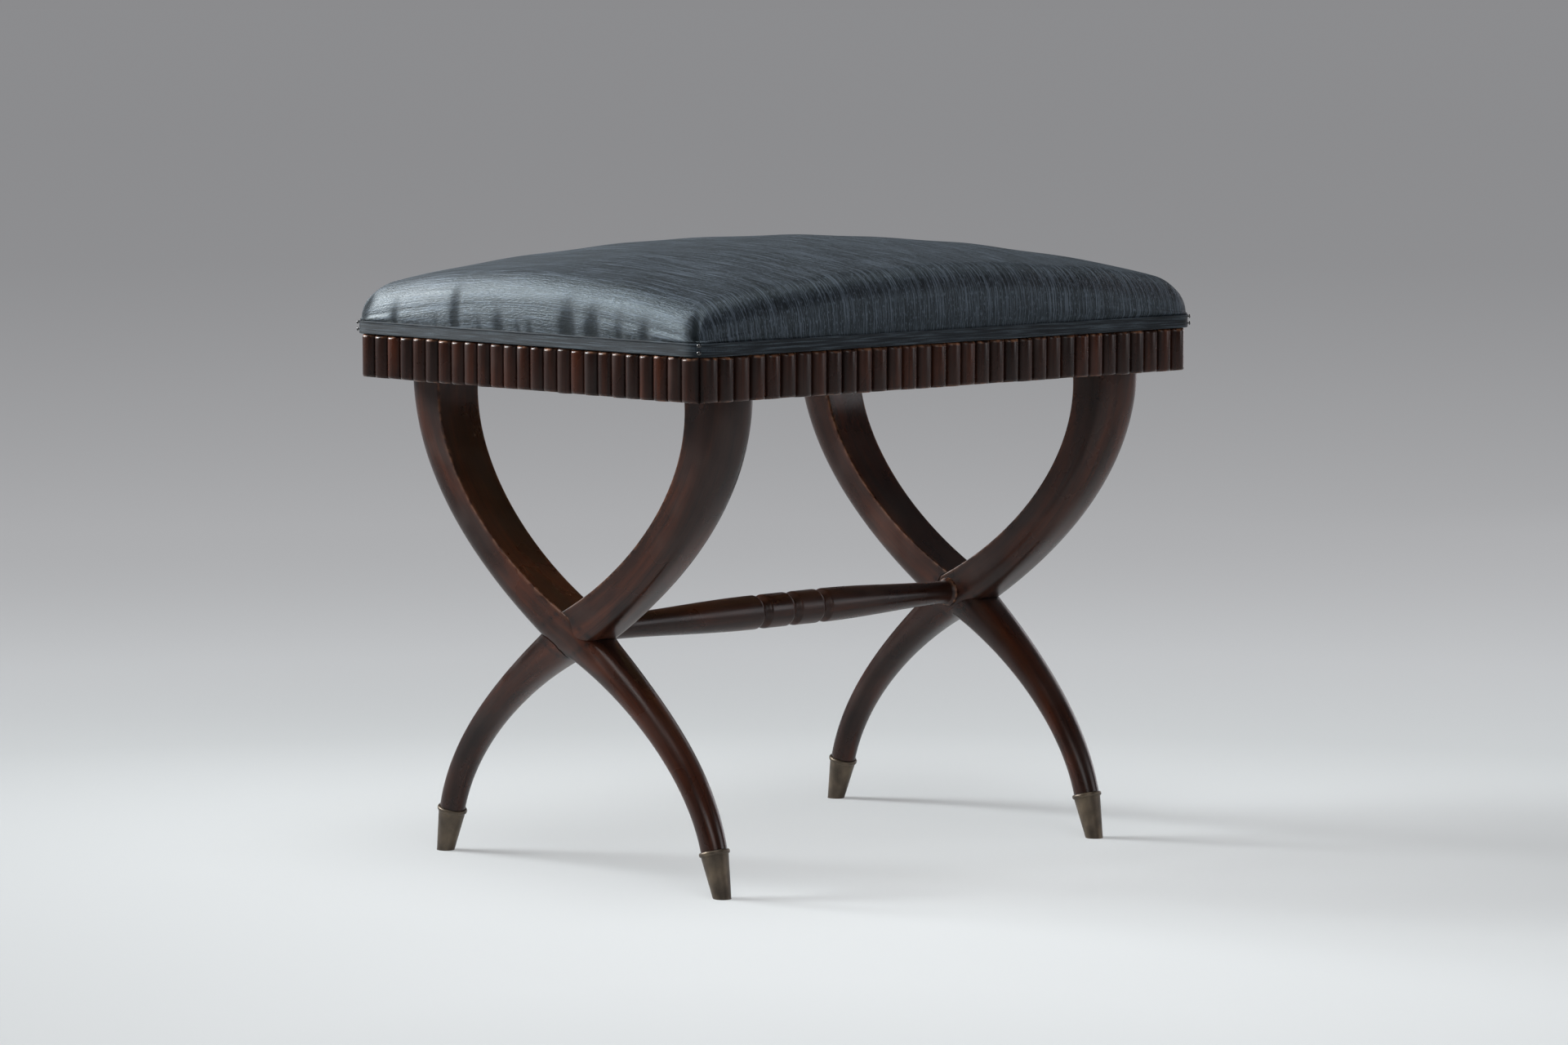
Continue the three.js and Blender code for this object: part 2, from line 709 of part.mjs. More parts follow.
// Long rail, in front or behind: body, lip, mortises for the arms and the end rails, screw and pin holes
function longRailGeometry(side) {
  const body = boxBetween(
    new THREE.Vector3(-railOuterX, Math.min(side * railInnerY, side * railOuterY), apronBottom),
    new THREE.Vector3(railOuterX, Math.max(side * railInnerY, side * railOuterY), railTop),
  );
  const lipInside = side * railInnerY;
  const lipOutside = side * (lipY + cutOverrun);
  const lipBand = boxBetween(
    new THREE.Vector3(-lipX - cutOverrun, Math.min(lipInside, lipOutside), lipBottom - cutOverrun),
    new THREE.Vector3(lipX + cutOverrun, Math.max(lipInside, lipOutside), railTop + cutOverrun),
  );
  const rail = joinUp(body, [overlapOf(lipPlan(), lipBand)]);
  const armMortises = [-1, 1].map((end) => boxBetween(
    new THREE.Vector3(
      end * frameHalfSpacing - armTenonThickness / 2 - fitGap,
      side * armTopSpread - armTenonDepth / 2 - fitGap,
      apronBottom - cutOverrun,
    ),
    new THREE.Vector3(
      end * frameHalfSpacing + armTenonThickness / 2 + fitGap,
      side * armTopSpread + armTenonDepth / 2 + fitGap,
      apronBottom + armTenonLength + fitGap,
    ),
  ));
  const railMortises = [-1, 1].map((end) => endRailTenon(end, side, fitGap));
  const holes = [...pinPlaces().map(pinHole), ...blockScrewPlaces().map(screwHole)];
  return cutAway(rail, [...armMortises, ...railMortises, ...holes]);
}

// Tenon of an end rail, or its mortise when grown
function endRailTenon(end, side, grow) {
  const middleX = end * (railOuterX - endRailWidth / 2);
  const insideY = side * (railInnerY - cutOverrun);
  const outsideY = side * (railInnerY + railTenonLength + grow);
  return boxBetween(
    new THREE.Vector3(
      middleX - railTenonThickness / 2 - grow,
      Math.min(insideY, outsideY),
      apronBottom + railTenonLift - grow,
    ),
    new THREE.Vector3(
      middleX + railTenonThickness / 2 + grow,
      Math.max(insideY, outsideY),
      apronBottom + railTenonLift + railTenonHeight + grow,
    ),
  );
}

function endRailGeometry(end) {
  const body = boxBetween(
    new THREE.Vector3(Math.min(end * railInnerX, end * railOuterX), -railInnerY, apronBottom),
    new THREE.Vector3(Math.max(end * railInnerX, end * railOuterX), railInnerY, railTop),
  );
  const lip = boxBetween(
    new THREE.Vector3(Math.min(end * railInnerX, end * lipX), -railInnerY, lipBottom),
    new THREE.Vector3(Math.max(end * railInnerX, end * lipX), railInnerY, railTop),
  );
  const rail = joinUp(body, [lip, endRailTenon(end, -1, 0), endRailTenon(end, 1, 0)]);
  return cutAway(rail, blockScrewPlaces().map(screwHole));
}

function cornerBlockGeometry(signX, signY) {
  const corner = new THREE.Vector2(signX * railInnerX, signY * railInnerY);
  const plan = [
    corner,
    corner.clone().add(new THREE.Vector2(-signX * blockLeg, 0)),
    corner.clone().add(new THREE.Vector2(0, -signY * blockLeg)),
  ];
  const block = raisePlan(plan, apronBottom + blockLift, apronBottom + blockLift + blockHeight);
  return cutAway(block, blockScrewPlaces().map(screwHole));
}

// Interlaced strap: its side outline rises over one crossing strap and dips under the next
function webProfile(halfReach, crossingCount, crossingPitch, firstOver) {
  const middle = webThickness / 2;
  const flat = webWidth / 2 + webShoulder;
  const line = [new THREE.Vector2(-halfReach - webEndLap, middle)];
  const firstCrossing = -(crossingCount - 1) / 2 * crossingPitch;
  line.push(new THREE.Vector2(firstCrossing - flat - webRampLength, middle));
  for (let crossing = 0; crossing < crossingCount; crossing += 1) {
    const place = firstCrossing + crossing * crossingPitch;
    const level = middle + ((crossing % 2 === 0) === firstOver ? webShift : -webShift);
    line.push(new THREE.Vector2(place - flat, level), new THREE.Vector2(place + flat, level));
  }
  line.push(new THREE.Vector2(-firstCrossing + flat + webRampLength, middle));
  line.push(new THREE.Vector2(halfReach + webEndLap, middle));
  const under = line.map((point) => point.clone().setY(point.y - webThickness / 2));
  const over = line.map((point) => point.clone().setY(point.y + webThickness / 2)).reverse();
  return [...under, ...over];
}

function webGeometry(profile) {
  const shape = new THREE.Shape(profile);
  const geometry = new THREE.ExtrudeGeometry(shape, { depth: webWidth, bevelEnabled: false, steps: 1 });
  return geometry.translate(0, 0, -webWidth / 2).rotateX(Math.PI / 2);
}

// Assembly
const stool = new THREE.Group();

function addPiece(parent, name, geometry, material) {
  const mesh = new THREE.Mesh(geometry, material);
  mesh.name = name;
  parent.add(mesh);
  return mesh;
}

for (const [side, outward, footSpread] of [['left', -1, leftFootSpread], ['right', 1, rightFootSpread]]) {
  const frame = new THREE.Group();
  frame.position.x = outward * frameHalfSpacing;
  addPiece(frame, `${side}_outer_member`, xMember(1, outward, true, footSpread), rosewood);
  addPiece(frame, `${side}_inner_member`, xMember(-1, outward, false, footSpread), rosewood);
  addPiece(frame, `ferrule_front_${side}`, ferruleGeometry(-1, footSpread), agedBrass);
  addPiece(frame, `ferrule_back_${side}`, ferruleGeometry(1, footSpread), agedBrass);
  stool.add(frame);
}

addPiece(stool, 'stretcher', stretcherGeometry(), rosewood);
addPiece(stool, 'front_rail', longRailGeometry(-1), beech);
addPiece(stool, 'back_rail', longRailGeometry(1), beech);
addPiece(stool, 'left_rail', endRailGeometry(-1), beech);
addPiece(stool, 'right_rail', endRailGeometry(1), beech);

const mouldings = [
  ['front_reeding', frameLength, longReedCount, railOuterY, Math.PI],
  ['right_reeding', frameWidth, shortReedCount, railOuterX, -Math.PI / 2],
  ['back_reeding', frameLength, longReedCount, railOuterY, 0],
  ['left_reeding', frameWidth, shortReedCount, railOuterX, Math.PI / 2],
];
for (const [name, length, count, standOff, turn] of mouldings) {
  const side = new THREE.Group();
  side.rotation.z = turn;
  const strip = addPiece(side, name, reededMoulding(length, count), rosewood);
  strip.position.set(0, standOff, apronBottom);
  stool.add(side);
}

for (const [name, signX, signY] of corners) {
  addPiece(stool, `corner_block_${name}`, cornerBlockGeometry(signX, signY), beech);
}
for (const place of blockScrewPlaces()) addPiece(stool, place.name, screwGeometry(place), steel);

for (let strap = 0; strap < longWebCount; strap += 1) {
  const profile = webProfile(railInnerX, crossWebCount, crossWebPitch, strap % 2 === 0);
  const web = addPiece(stool, `long_web_${strap + 1}`, webGeometry(profile), webbing);
  web.position.set(0, strap * longWebPitch - outerWebY, railTop);
}
for (let strap = 0; strap < crossWebCount; strap += 1) {
  const profile = webProfile(railInnerY, longWebCount, longWebPitch, strap % 2 === 1);
  const web = addPiece(stool, `cross_web_${strap + 1}`, webGeometry(profile), webbing);
  web.rotation.z = Math.PI / 2;
  web.position.set(strap * crossWebPitch - outerWebX, 0, railTop);
}

addPiece(stool, 'hessian', boxBetween(
  new THREE.Vector3(-lipX + hessianInset, -lipY + hessianInset, hessianBottom),
  new THREE.Vector3(lipX - hessianInset, lipY - hessianInset, hessianBottom + hessianThickness),
), hessian);
addPiece(stool, 'stuffing', stuffingGeometry(stuffingBottom), curledHair);
addPiece(stool, 'seat_cover', cutAway(seatCoverGeometry(), pinPlaces().map(pinHole)), horsehairCloth);
addPiece(stool, 'trim_band', cutAway(bandGeometry(), pinPlaces().map(pinHole)), wovenBand);
for (const place of pinPlaces()) addPiece(stool, place.name, pinGeometry(place), darkBead);

export default stool;
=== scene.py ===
"""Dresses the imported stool: two x frames, a turned stretcher, a reeded apron and a horsehair seat.

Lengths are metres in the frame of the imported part: X along the long side, Y along the short
side, Z up from the floor. Each sub-assembly is a class whose fields are its driving sizes, and
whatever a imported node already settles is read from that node's box.
"""

from __future__ import annotations

import logging
import math
from contextlib import contextmanager
from dataclasses import dataclass
from enum import Enum
from functools import reduce
from typing import Iterator, Sequence

import bmesh
import bpy
import numpy as np
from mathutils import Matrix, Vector

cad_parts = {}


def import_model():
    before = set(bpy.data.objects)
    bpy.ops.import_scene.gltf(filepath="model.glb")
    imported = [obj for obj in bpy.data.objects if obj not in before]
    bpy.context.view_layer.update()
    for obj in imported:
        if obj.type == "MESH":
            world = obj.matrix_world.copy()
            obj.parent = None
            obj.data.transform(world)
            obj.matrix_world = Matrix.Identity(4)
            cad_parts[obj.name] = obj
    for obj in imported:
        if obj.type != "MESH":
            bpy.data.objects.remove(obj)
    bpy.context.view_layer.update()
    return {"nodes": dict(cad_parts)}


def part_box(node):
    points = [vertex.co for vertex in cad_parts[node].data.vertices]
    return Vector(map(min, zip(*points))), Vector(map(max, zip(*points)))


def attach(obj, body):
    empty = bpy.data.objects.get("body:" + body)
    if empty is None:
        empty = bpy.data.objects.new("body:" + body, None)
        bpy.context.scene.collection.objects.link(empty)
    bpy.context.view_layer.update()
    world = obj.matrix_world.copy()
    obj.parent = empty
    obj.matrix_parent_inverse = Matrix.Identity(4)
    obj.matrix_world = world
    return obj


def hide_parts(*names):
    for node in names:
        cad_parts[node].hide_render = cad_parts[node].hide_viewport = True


MM = 0.001
FIT_GAP = 0.3 * MM
BODY = "root"

log = logging.getLogger("stool")

Colour = tuple[float, float, float, float]
Pair = tuple[float, float]
Triple = tuple[float, float, float]
Piece = bpy.types.Object
Socket = bpy.types.NodeSocket


class Cut(Enum):
    """How one solid works on another."""

    JOIN = "UNION"
    AWAY = "DIFFERENCE"
    SHARED = "INTERSECT"


class Grain(Enum):
    """Which way the grain of a straight timber runs, as stretches along X, Y and Z."""

    ALONG_X = (6.0, 90.0, 90.0)
    ALONG_Y = (90.0, 6.0, 90.0)


class Corner(Enum):
    """Corners of the seat, as signs along X and Y."""

    FRONT_LEFT = (-1, -1)
    FRONT_RIGHT = (1, -1)
    BACK_LEFT = (-1, 1)
    BACK_RIGHT = (1, 1)

    @property
    def label(self) -> str:
        """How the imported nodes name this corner."""
        return self.name.lower()


def srgb(red: int, green: int, blue: int) -> Colour:
    """Turns a colour as a screen shows it into the linear one that shaders take.

    Args:
        red: Red from 0 to 255.
        green: Green from 0 to 255.
        blue: Blue from 0 to 255.

    Returns:
        The linear colour with full alpha.
    """
    shares = np.array([red, green, blue]) / 255
    linear = np.where(shares <= 0.04045, shares / 12.92, ((shares + 0.055) / 1.055) ** 2.4)
    return (*linear.tolist(), 1.0)


# Meshes


def ring_faces(rings: int, points: int) -> list[list[int]]:
    """Faces of a closed body whose rings lie one after the other.

    Args:
        rings: How many rings there are.
        points: How many points each ring has.

    Returns:
        Quads between neighbouring rings, and one face over each end.
    """
    ring, step = np.meshgrid(np.arange(rings - 1), np.arange(points), indexing="ij")
    here = ring * points + step
    beside = ring * points + (step + 1) % points
    quads = np.stack([here, beside, beside + points, here + points], axis=-1)
    last = (rings - 1) * points
    ends = [list(range(points)), list(range(last, last + points))]
    return quads.reshape(-1, 4).tolist() + ends


@contextmanager
def opened(mesh: bpy.types.Mesh) -> Iterator[bmesh.types.BMesh]:
    """Opens a mesh to be worked on, and writes it back with its normals facing out.

    Args:
        mesh: The mesh.

    Returns:
        The opened mesh, for the time of the work.
    """
    shape = bmesh.new()
    shape.from_mesh(mesh)
    yield shape
    bmesh.ops.recalc_face_normals(shape, faces=shape.faces)
    shape.to_mesh(mesh)
    shape.free()


def closed_object(name: str, points: np.ndarray, faces: list[list[int]]) -> Piece:
    """Makes a mesh object with its normals facing out.

    Args:
        name: The object's name.
        points: Vertices, one row each.
        faces: Vertex numbers of each face.

    Returns:
        The new object, linked to the scene.
    """
    mesh = bpy.data.meshes.new(name)
    mesh.from_pydata(points.tolist(), [], faces)
    with opened(mesh):
        pass  # Opening it is enough to turn its normals outwards.
    made = bpy.data.objects.new(name, mesh)
    bpy.context.scene.collection.objects.link(made)
    return made


def lofted(name: str, rings: np.ndarray) -> Piece:
    """Makes a closed body through rings of equal count, given as (ring, point, 3)."""
    count, points = rings.shape[:2]
    return closed_object(name, rings.reshape(-1, 3), ring_faces(count, points))


def block(name: str, low: Sequence[float], high: Sequence[float]) -> Piece:
    """Makes a tool with straight sides, used only to join or cut.

    Args:
        name: The tool's name.
        low: Its lowest corner.
        high: Its highest corner.

    Returns:
        The tool as an object.
    """
    plan = [(low[0], low[1]), (high[0], low[1]), (high[0], high[1]), (low[0], high[1])]
    rings = np.array([[(x, y, z) for x, y in plan] for z in (low[2], high[2])])
    return lofted(name, rings)


def turned(name: str, profile: np.ndarray, sides: int, start: Vector, direction: Vector) -> Piece:
    """Turns a profile about an axis.

    Args:
        name: The object's name.
        profile: Rows of radius and distance along the axis, from one end to the other.
        sides: How many sides the turning has.
        start: The point on the axis where the distance is zero.
        direction: The way the axis runs.

    Returns:
        The closed turning.
    """
    axis = direction.normalized()
    beside = axis.orthogonal().normalized()
    above = axis.cross(beside)
    angles = np.linspace(0, 2 * math.pi, sides, endpoint=False)
    spokes = np.outer(np.cos(angles), beside) + np.outer(np.sin(angles), above)
    rings = [np.array(start) + radius * spokes + away * np.array(axis) for radius, away in profile]
    return lofted(name, np.array(rings))


def carve(body: Piece, tool: Piece, cut: Cut) -> None:
    """Joins a tool to a body, cuts it away or keeps what they share, and deletes the tool.

    Args:
        body: The object that is worked on.
        tool: The object that works on it.
        cut: Which of the three is done.
    """
    step = body.modifiers.new(cut.name, "BOOLEAN")
    step.operation = cut.value
    step.solver = "EXACT"
    step.object = tool
    graph = bpy.context.evaluated_depsgraph_get()
    worked = bpy.data.meshes.new_from_object(body.evaluated_get(graph))
    body.modifiers.clear()
    before = body.data
    body.data = worked
    bpy.data.meshes.remove(before)
    bpy.data.objects.remove(tool)


def trim_below(body: Piece, height: float) -> None:
    """Cuts away what lies under a height, and closes the cut.

    Args:
        body: The closed object that is cut.
        height: Where it is cut level.
    """
    with opened(body.data) as shape:
        bmesh.ops.bisect_plane(
            shape,
            geom=[*shape.verts, *shape.edges, *shape.faces],
            plane_co=(0, 0, height),
            plane_no=(0, 0, -1),
            clear_outer=True,
        )
        bmesh.ops.contextual_create(shape, geom=[edge for edge in shape.edges if edge.is_boundary])


def corners_of(body: Piece) -> np.ndarray:
    """Reads where an object's vertices lie.

    Args:
        body: The object.

    Returns:
        Its vertices, one row each.
    """
    found = np.zeros(len(body.data.vertices) * 3)
    body.data.vertices.foreach_get("co", found)
    return found.reshape(-1, 3)


def move_corners(body: Piece, corners: np.ndarray) -> None:
    """Moves the object's vertices to new places, one row each."""
    body.data.vertices.foreach_set("co", corners.ravel())
    body.data.update()


def note_vectors(body: Piece, title: str, vectors: np.ndarray) -> None:
    """Writes a vector for each vertex under a title that the finishes read."""
    layer = body.data.attributes.new(title, "FLOAT_VECTOR", "POINT")
    layer.data.foreach_set("vector", vectors.astype(np.float32).ravel())


def note_values(body: Piece, title: str, values: np.ndarray) -> None:
    """Writes a number for each vertex under a title that the finishes read."""
    layer = body.data.attributes.new(title, "FLOAT", "POINT")
    layer.data.foreach_set("value", values.astype(np.float32).ravel())


def middle_of(name: str) -> np.ndarray:
    """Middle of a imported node's box, as X, Y and Z."""
    low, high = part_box(name)
    return (np.array(low) + np.array(high)) / 2


def travelled_along(points: np.ndarray) -> np.ndarray:
    """Distance travelled from the first of the points to each of them."""
    return np.concatenate([[0], np.cumsum(np.linalg.norm(np.diff(points, axis=0), axis=1))])


def smooth_step(low: float, high: float, values: np.ndarray) -> np.ndarray:
    """Eases from 0 at low to 1 at high."""
    share = np.clip((values - low) / (high - low), 0, 1)
    return share * share * (3 - 2 * share)


# Finishes


class Board:
    """The nodes of one material, with a short call for each kind that the finishes use."""

    def __init__(self, title: str) -> None:
        """Starts a material with an empty shader.

        Args:
            title: The material's name.
        """
        self.material = bpy.data.materials.new(title)
        self.material.use_nodes = True
        self.nodes = self.material.node_tree.nodes
        self.links = self.material.node_tree.links
        self.nodes.clear()
        self.shader = self.nodes.new("ShaderNodeBsdfPrincipled")
        self.outlet = self.nodes.new("ShaderNodeOutputMaterial").inputs["Surface"]
        self.feed(self.outlet, self.shader.outputs[0])

    def feed(self, socket: Socket, source: object) -> None:
        """Links a source to a socket, or writes it there if it is a plain value.

        Args:
            socket: The socket that is fed.
            source: What feeds it.
        """
        if isinstance(source, Socket):
            self.links.new(source, socket)
        else:
            socket.default_value = source

    def shade(self, settings: dict[str, object]) -> None:
        """Feeds the shader's sockets by their names."""
        for title, source in settings.items():
            self.feed(self.shader.inputs[title], source)

    def add(self, kind: str, feeds: dict | None = None, out: int | str = 0, **options: object) -> Socket:
        """Adds one node.

        Args:
            kind: Its kind, as what follows ShaderNode in its type.
            feeds: What its sockets take, by their names or numbers.
            out: The output that is wanted.
            options: Its other settings.

        Returns:
            The output.
        """
        node = self.nodes.new(f"ShaderNode{kind}")
        for title, option in options.items():
            setattr(node, title, option)
        for socket, source in (feeds or {}).items():
            self.feed(node.inputs[socket], source)
        return node.outputs[out]

    def vector(self, title: str) -> Socket:
        """The vectors that a piece wrote for its vertices."""
        return self.add("Attribute", out="Vector", attribute_name=title)

    def value(self, title: str) -> Socket:
        """The numbers that a piece wrote for its vertices."""
        return self.add("Attribute", out="Fac", attribute_name=title)

    def place(self) -> Socket:
        """Where a point lies in the part's own frame."""
        return self.add("TexCoord", out="Object")

    def stretch(self, vector: Socket, factors: Sequence[float]) -> Socket:
        """Multiplies a vector's three parts."""
        return self.add("VectorMath", {0: vector, 1: tuple(factors)}, operation="MULTIPLY")

    def part(self, vector: Socket, axis: str) -> Socket:
        """One of a vector's three parts."""
        return self.add("SeparateXYZ", {0: vector}, out=axis)

    def noise(
        self, vector: Socket, factors: Sequence[float], detail: float = 2, distortion: float = 0
    ) -> Socket:
        """Noise from 0 to 1.

        Args:
            vector: Where the noise is read.
            factors: How close it lies along the vector's three parts.
            detail: How many finer layers it has.
            distortion: How far it is bent.

        Returns:
            The noise's value.
        """
        vector = self.stretch(vector, factors)
        feeds = {"Vector": vector, "Scale": 1, "Detail": detail, "Distortion": distortion}
        return self.add("TexNoise", feeds)

    def maths(self, operation: str, first: object, second: object = 0.0) -> Socket:
        """One sum on one or two numbers."""
        return self.add("Math", {0: first, 1: second}, operation=operation)

    def total(self, *terms: tuple[Socket, float]) -> Socket:
        """Adds values up, each times its share."""
        scaled = [value if share == 1 else self.maths("MULTIPLY", value, share) for value, share in terms]
        return reduce(lambda first, second: self.maths("ADD", first, second), scaled)

    def spread(self, value: Socket, start: float, end: float, low: float, high: float) -> Socket:
        """Maps a value that runs from start to end on to low to high, and holds it there."""
        titles = ("Value", "From Min", "From Max", "To Min", "To Max")
        return self.add("MapRange", dict(zip(titles, (value, start, end, low, high))))

    def blend(self, factor: object, first: object, second: object) -> Socket:
        """Goes from a first colour to a second as the factor goes from 0 to 1."""
        return self.add("Mix", {0: factor, 6: first, 7: second}, out=2, data_type="RGBA")

    def ramp(self, factor: Socket, stops: Sequence[tuple[float, Colour]]) -> Socket:
        """Colours along a factor.

        Args:
            factor: The value that picks the colour.
            stops: Each stop's place and colour, in order.

        Returns:
            The picked colour.
        """
        picked = self.add("ValToRGB", {0: factor})
        elements = picked.node.color_ramp.elements
        while len(elements) < len(stops):
            elements.new(0.5)
        for element, (where, colour) in zip(elements, stops):
            element.position = where
            element.color = colour
        return picked

    def relief(self, height: Socket, depth: float) -> Socket:
        """Raises the surface by a height from 0 to 1, where 1 stands out by the depth."""
        return self.add("Bump", {"Distance": depth, "Height": height})


@dataclass(frozen=True)
class Finish:
    """What every finish shares: its title and the slot of the record that it stands for."""

    title: str
    slot: str

    def material(self) -> bpy.types.Material:
        """The finish as a material, made at its first use.

        Returns:
            The one material that every piece in this finish shares.
        """
        made = bpy.data.materials.get(self.title)
        if made is None:
            board = Board(self.title)
            self.lay(board)
            made = board.material
        return made

    def put_on(self, piece: Piece) -> None:
        """Gives a piece this finish alone."""
        piece.data.materials.clear()
        piece.data.materials.append(self.material())

    def lay(self, board: Board) -> None:
        """Lays the finish on an empty board."""
        raise NotImplementedError


@dataclass(frozen=True)
class PolishedRosewood(Finish):
    """Old polished rosewood, near black-brown, with a quiet figure and edges rubbed pale."""

    dark: Colour = srgb(27, 13, 9)
    middle: Colour = srgb(41, 21, 14)
    warm: Colour = srgb(66, 32, 18)
    line: Colour = srgb(14, 8, 7)
    rubbed: Colour = srgb(168, 118, 88)
    haze: Colour = srgb(84, 74, 70)
    pore_depth: float = 0.03 * MM

    def lay(self, board: Board) -> None:
        """Lays a soft figure, a few dark lines, fine pores, painted shade in the valleys between the
        reeds, a dark line along the crossing joint, and rubbed edges.

        Args:
            board: The empty board that takes its nodes.
        """
        grain = board.vector("grain")
        figure = board.noise(grain, (8, 34, 34), detail=3, distortion=0.8)
        bands = board.noise(grain, (5, 240, 240), distortion=0.3)
        lines = board.noise(grain, (14, 800, 800))
        pores = board.noise(grain, (110, 3200, 3200), detail=1)
        tone = board.total((figure, 0.75), (bands, 0.25))
        colour = board.ramp(tone, [(0.34, self.dark), (0.5, self.middle), (0.68, self.warm)])
        colour = board.blend(board.spread(lines, 0.54, 0.68, 0, 0.45), colour, self.line)
        hand = board.noise(grain, (22, 30, 30), detail=4)
        colour = board.blend(board.spread(hand, 0.5, 0.75, 0, 0.12), colour, self.haze)
        # Painted shade in the valleys between the reeds, and a dark line along the crossing joint, both
        # in the colour of the dark lines.
        colour = board.blend(board.value("darkening"), colour, self.line)
        wear = board.value("wear")
        patchy = board.noise(grain, (160, 240, 240), detail=3)
        rubbing = board.maths("MULTIPLY", wear, board.spread(patchy, 0.42, 0.6, 0, 1))
        colour = board.blend(rubbing, colour, self.rubbed)
        roughness = board.spread(hand, 0.3, 0.7, 0.22, 0.36)
        board.shade({
            "Base Color": colour,
            "Roughness": board.total((roughness, 1), (rubbing, 0.2)),
            "Normal": board.relief(board.maths("ADD", pores, lines), self.pore_depth),
            "Specular IOR Level": 0.3,
        })


@dataclass(frozen=True)
class DulledBrass(Finish):
    """Brass gone an even grey-brown, hardly brighter where it is rubbed."""

    brass: Colour = srgb(110, 97, 81)
    dulled: Colour = srgb(86, 76, 65)
    darkening: Colour = srgb(68, 60, 52)
    scratch_depth: float = 0.02 * MM

    def lay(self, board: Board) -> None:
        """Lays an even tarnish over brass, with fine scratches along the foot.

        Args:
            board: The empty board that takes its nodes.
        """
        place = board.place()
        cloud = board.noise(place, (90, 90, 60), detail=4)
        scratches = board.noise(place, (900, 900, 90))
        board.shade({
            "Base Color": board.ramp(cloud, [(0.3, self.darkening), (0.5, self.dulled), (0.75, self.brass)]),
            "Metallic": 0.7,
            "Roughness": board.spread(cloud, 0.3, 0.7, 0.48, 0.38),
            "Normal": board.relief(scratches, self.scratch_depth),
        })


@dataclass(frozen=True)
class SawnBeech(Finish):
    """Unpolished beech of the seat rails, browned with age, with short flecks in its grain."""

    way: Grain = Grain.ALONG_X
    pale: Colour = srgb(176, 138, 96)
    aged: Colour = srgb(132, 96, 62)
    fleck: Colour = srgb(98, 66, 42)
    saw_depth: float = 0.15 * MM

    def lay(self, board: Board) -> None:
        """Lays plain grain with flecks and the marks of the saw.

        Args:
            board: The empty board that takes its nodes.
        """
        place = board.place()
        grain = board.noise(place, self.way.value, detail=5, distortion=0.4)
        flecks = board.noise(place, [12 * stretch for stretch in self.way.value], detail=1)
        colour = board.blend(board.spread(grain, 0.35, 0.65, 0, 1), self.aged, self.pale)
        colour = board.blend(board.spread(flecks, 0.6, 0.7, 0, 0.8), colour, self.fleck)
        marks = board.noise(place, (400, 400, 60))
        board.shade({
            "Base Color": colour,
            "Roughness": 0.8,
            "Normal": board.relief(marks, self.saw_depth),
        })


@dataclass(frozen=True)
class OldSteel(Finish):
    """Hand-cut steel screws, browned in patches."""

    steel: Colour = srgb(128, 122, 114)
    rust: Colour = srgb(84, 58, 42)

    def lay(self, board: Board) -> None:
        """Lays steel with thin rust.

        Args:
            board: The empty board that takes its nodes.
        """
        cloud = board.noise(board.place(), (420, 420, 420), detail=3)
        board.shade({
            "Base Color": board.blend(board.spread(cloud, 0.42, 0.6, 0, 1), self.steel, self.rust),
            "Metallic": 0.85,
            "Roughness": board.spread(cloud, 0.35, 0.65, 0.4, 0.7),
        })


@dataclass(frozen=True)
class JuteWebbing(Finish):
    """Herringbone jute webbing, read from its course along and across the strap."""

    yarn: Colour = srgb(172, 146, 104)
    fibre_tone_and_groove_shade: Colour = srgb(110, 88, 58)
    yarn_pitch: float = 1.6 * MM
    bone_width: float = 6 * MM
    weave_depth: float = 0.35 * MM

    def lay(self, board: Board) -> None:
        """Lays slanting yarns that turn back every few millimetres, with painted shade in the grooves
        between them.

        Args:
            board: The empty board that takes its nodes.
        """
        course = board.vector("cloth")
        along, across = board.part(course, "X"), board.part(course, "Y")
        bone = board.maths("PINGPONG", across, self.bone_width)
        phase = board.maths("MULTIPLY", board.maths("ADD", along, bone), math.tau / self.yarn_pitch)
        yarns = board.spread(board.maths("SINE", phase), -1, 1, 0, 1)
        fibres = board.noise(course, (900, 900, 900), detail=3)
        # Painted shade: the colour darkens where the yarns sink, and darkens at random along the fibres.
        colour = board.blend(yarns, self.fibre_tone_and_groove_shade, self.yarn)
        colour = board.blend(board.spread(fibres, 0.4, 0.7, 0, 0.5), colour, self.fibre_tone_and_groove_shade)
        height = board.total((yarns, 1), (fibres, 0.4))
        board.shade({
            "Base Color": colour,
            "Roughness": 0.95,
            "Normal": board.relief(height, self.weave_depth),
            "Sheen Weight": 0.15,
        })


@dataclass(frozen=True)
class PlainHessian(Finish):
    """Open plain weave of coarse jute over the webbing."""

    yarn: Colour = srgb(150, 122, 82)
    hole_shade: Colour = srgb(52, 38, 24)
    yarn_pitch: float = 2.1 * MM
    weave_depth: float = 0.4 * MM

    def lay(self, board: Board) -> None:
        """Lays yarns that cross over and under, with painted shade in the holes between them.

        Args:
            board: The empty board that takes its nodes.
        """
        place = board.place()
        uneven = board.noise(place, (60, 60, 60), detail=3)
        shift = board.maths("MULTIPLY", uneven, 2.5)
        waves = []
        for axis in "XY":
            phase = board.maths("MULTIPLY", board.part(place, axis), math.tau / self.yarn_pitch)
            waves.append(board.maths("SINE", board.maths("ADD", phase, shift)))
        crossing = board.maths("MULTIPLY", *waves)
        cover = board.maths("ABSOLUTE", board.maths("ADD", *waves))
        # Painted shade: where the two yarns cancel, the holes between them are dark.
        colour = board.blend(board.spread(cover, 0.2, 1.3, 0, 1), self.hole_shade, self.yarn)
        board.shade({
            "Base Color": colour,
            "Roughness": 0.95,
            "Normal": board.relief(board.spread(crossing, -1, 1, 0, 1), self.weave_depth),
        })


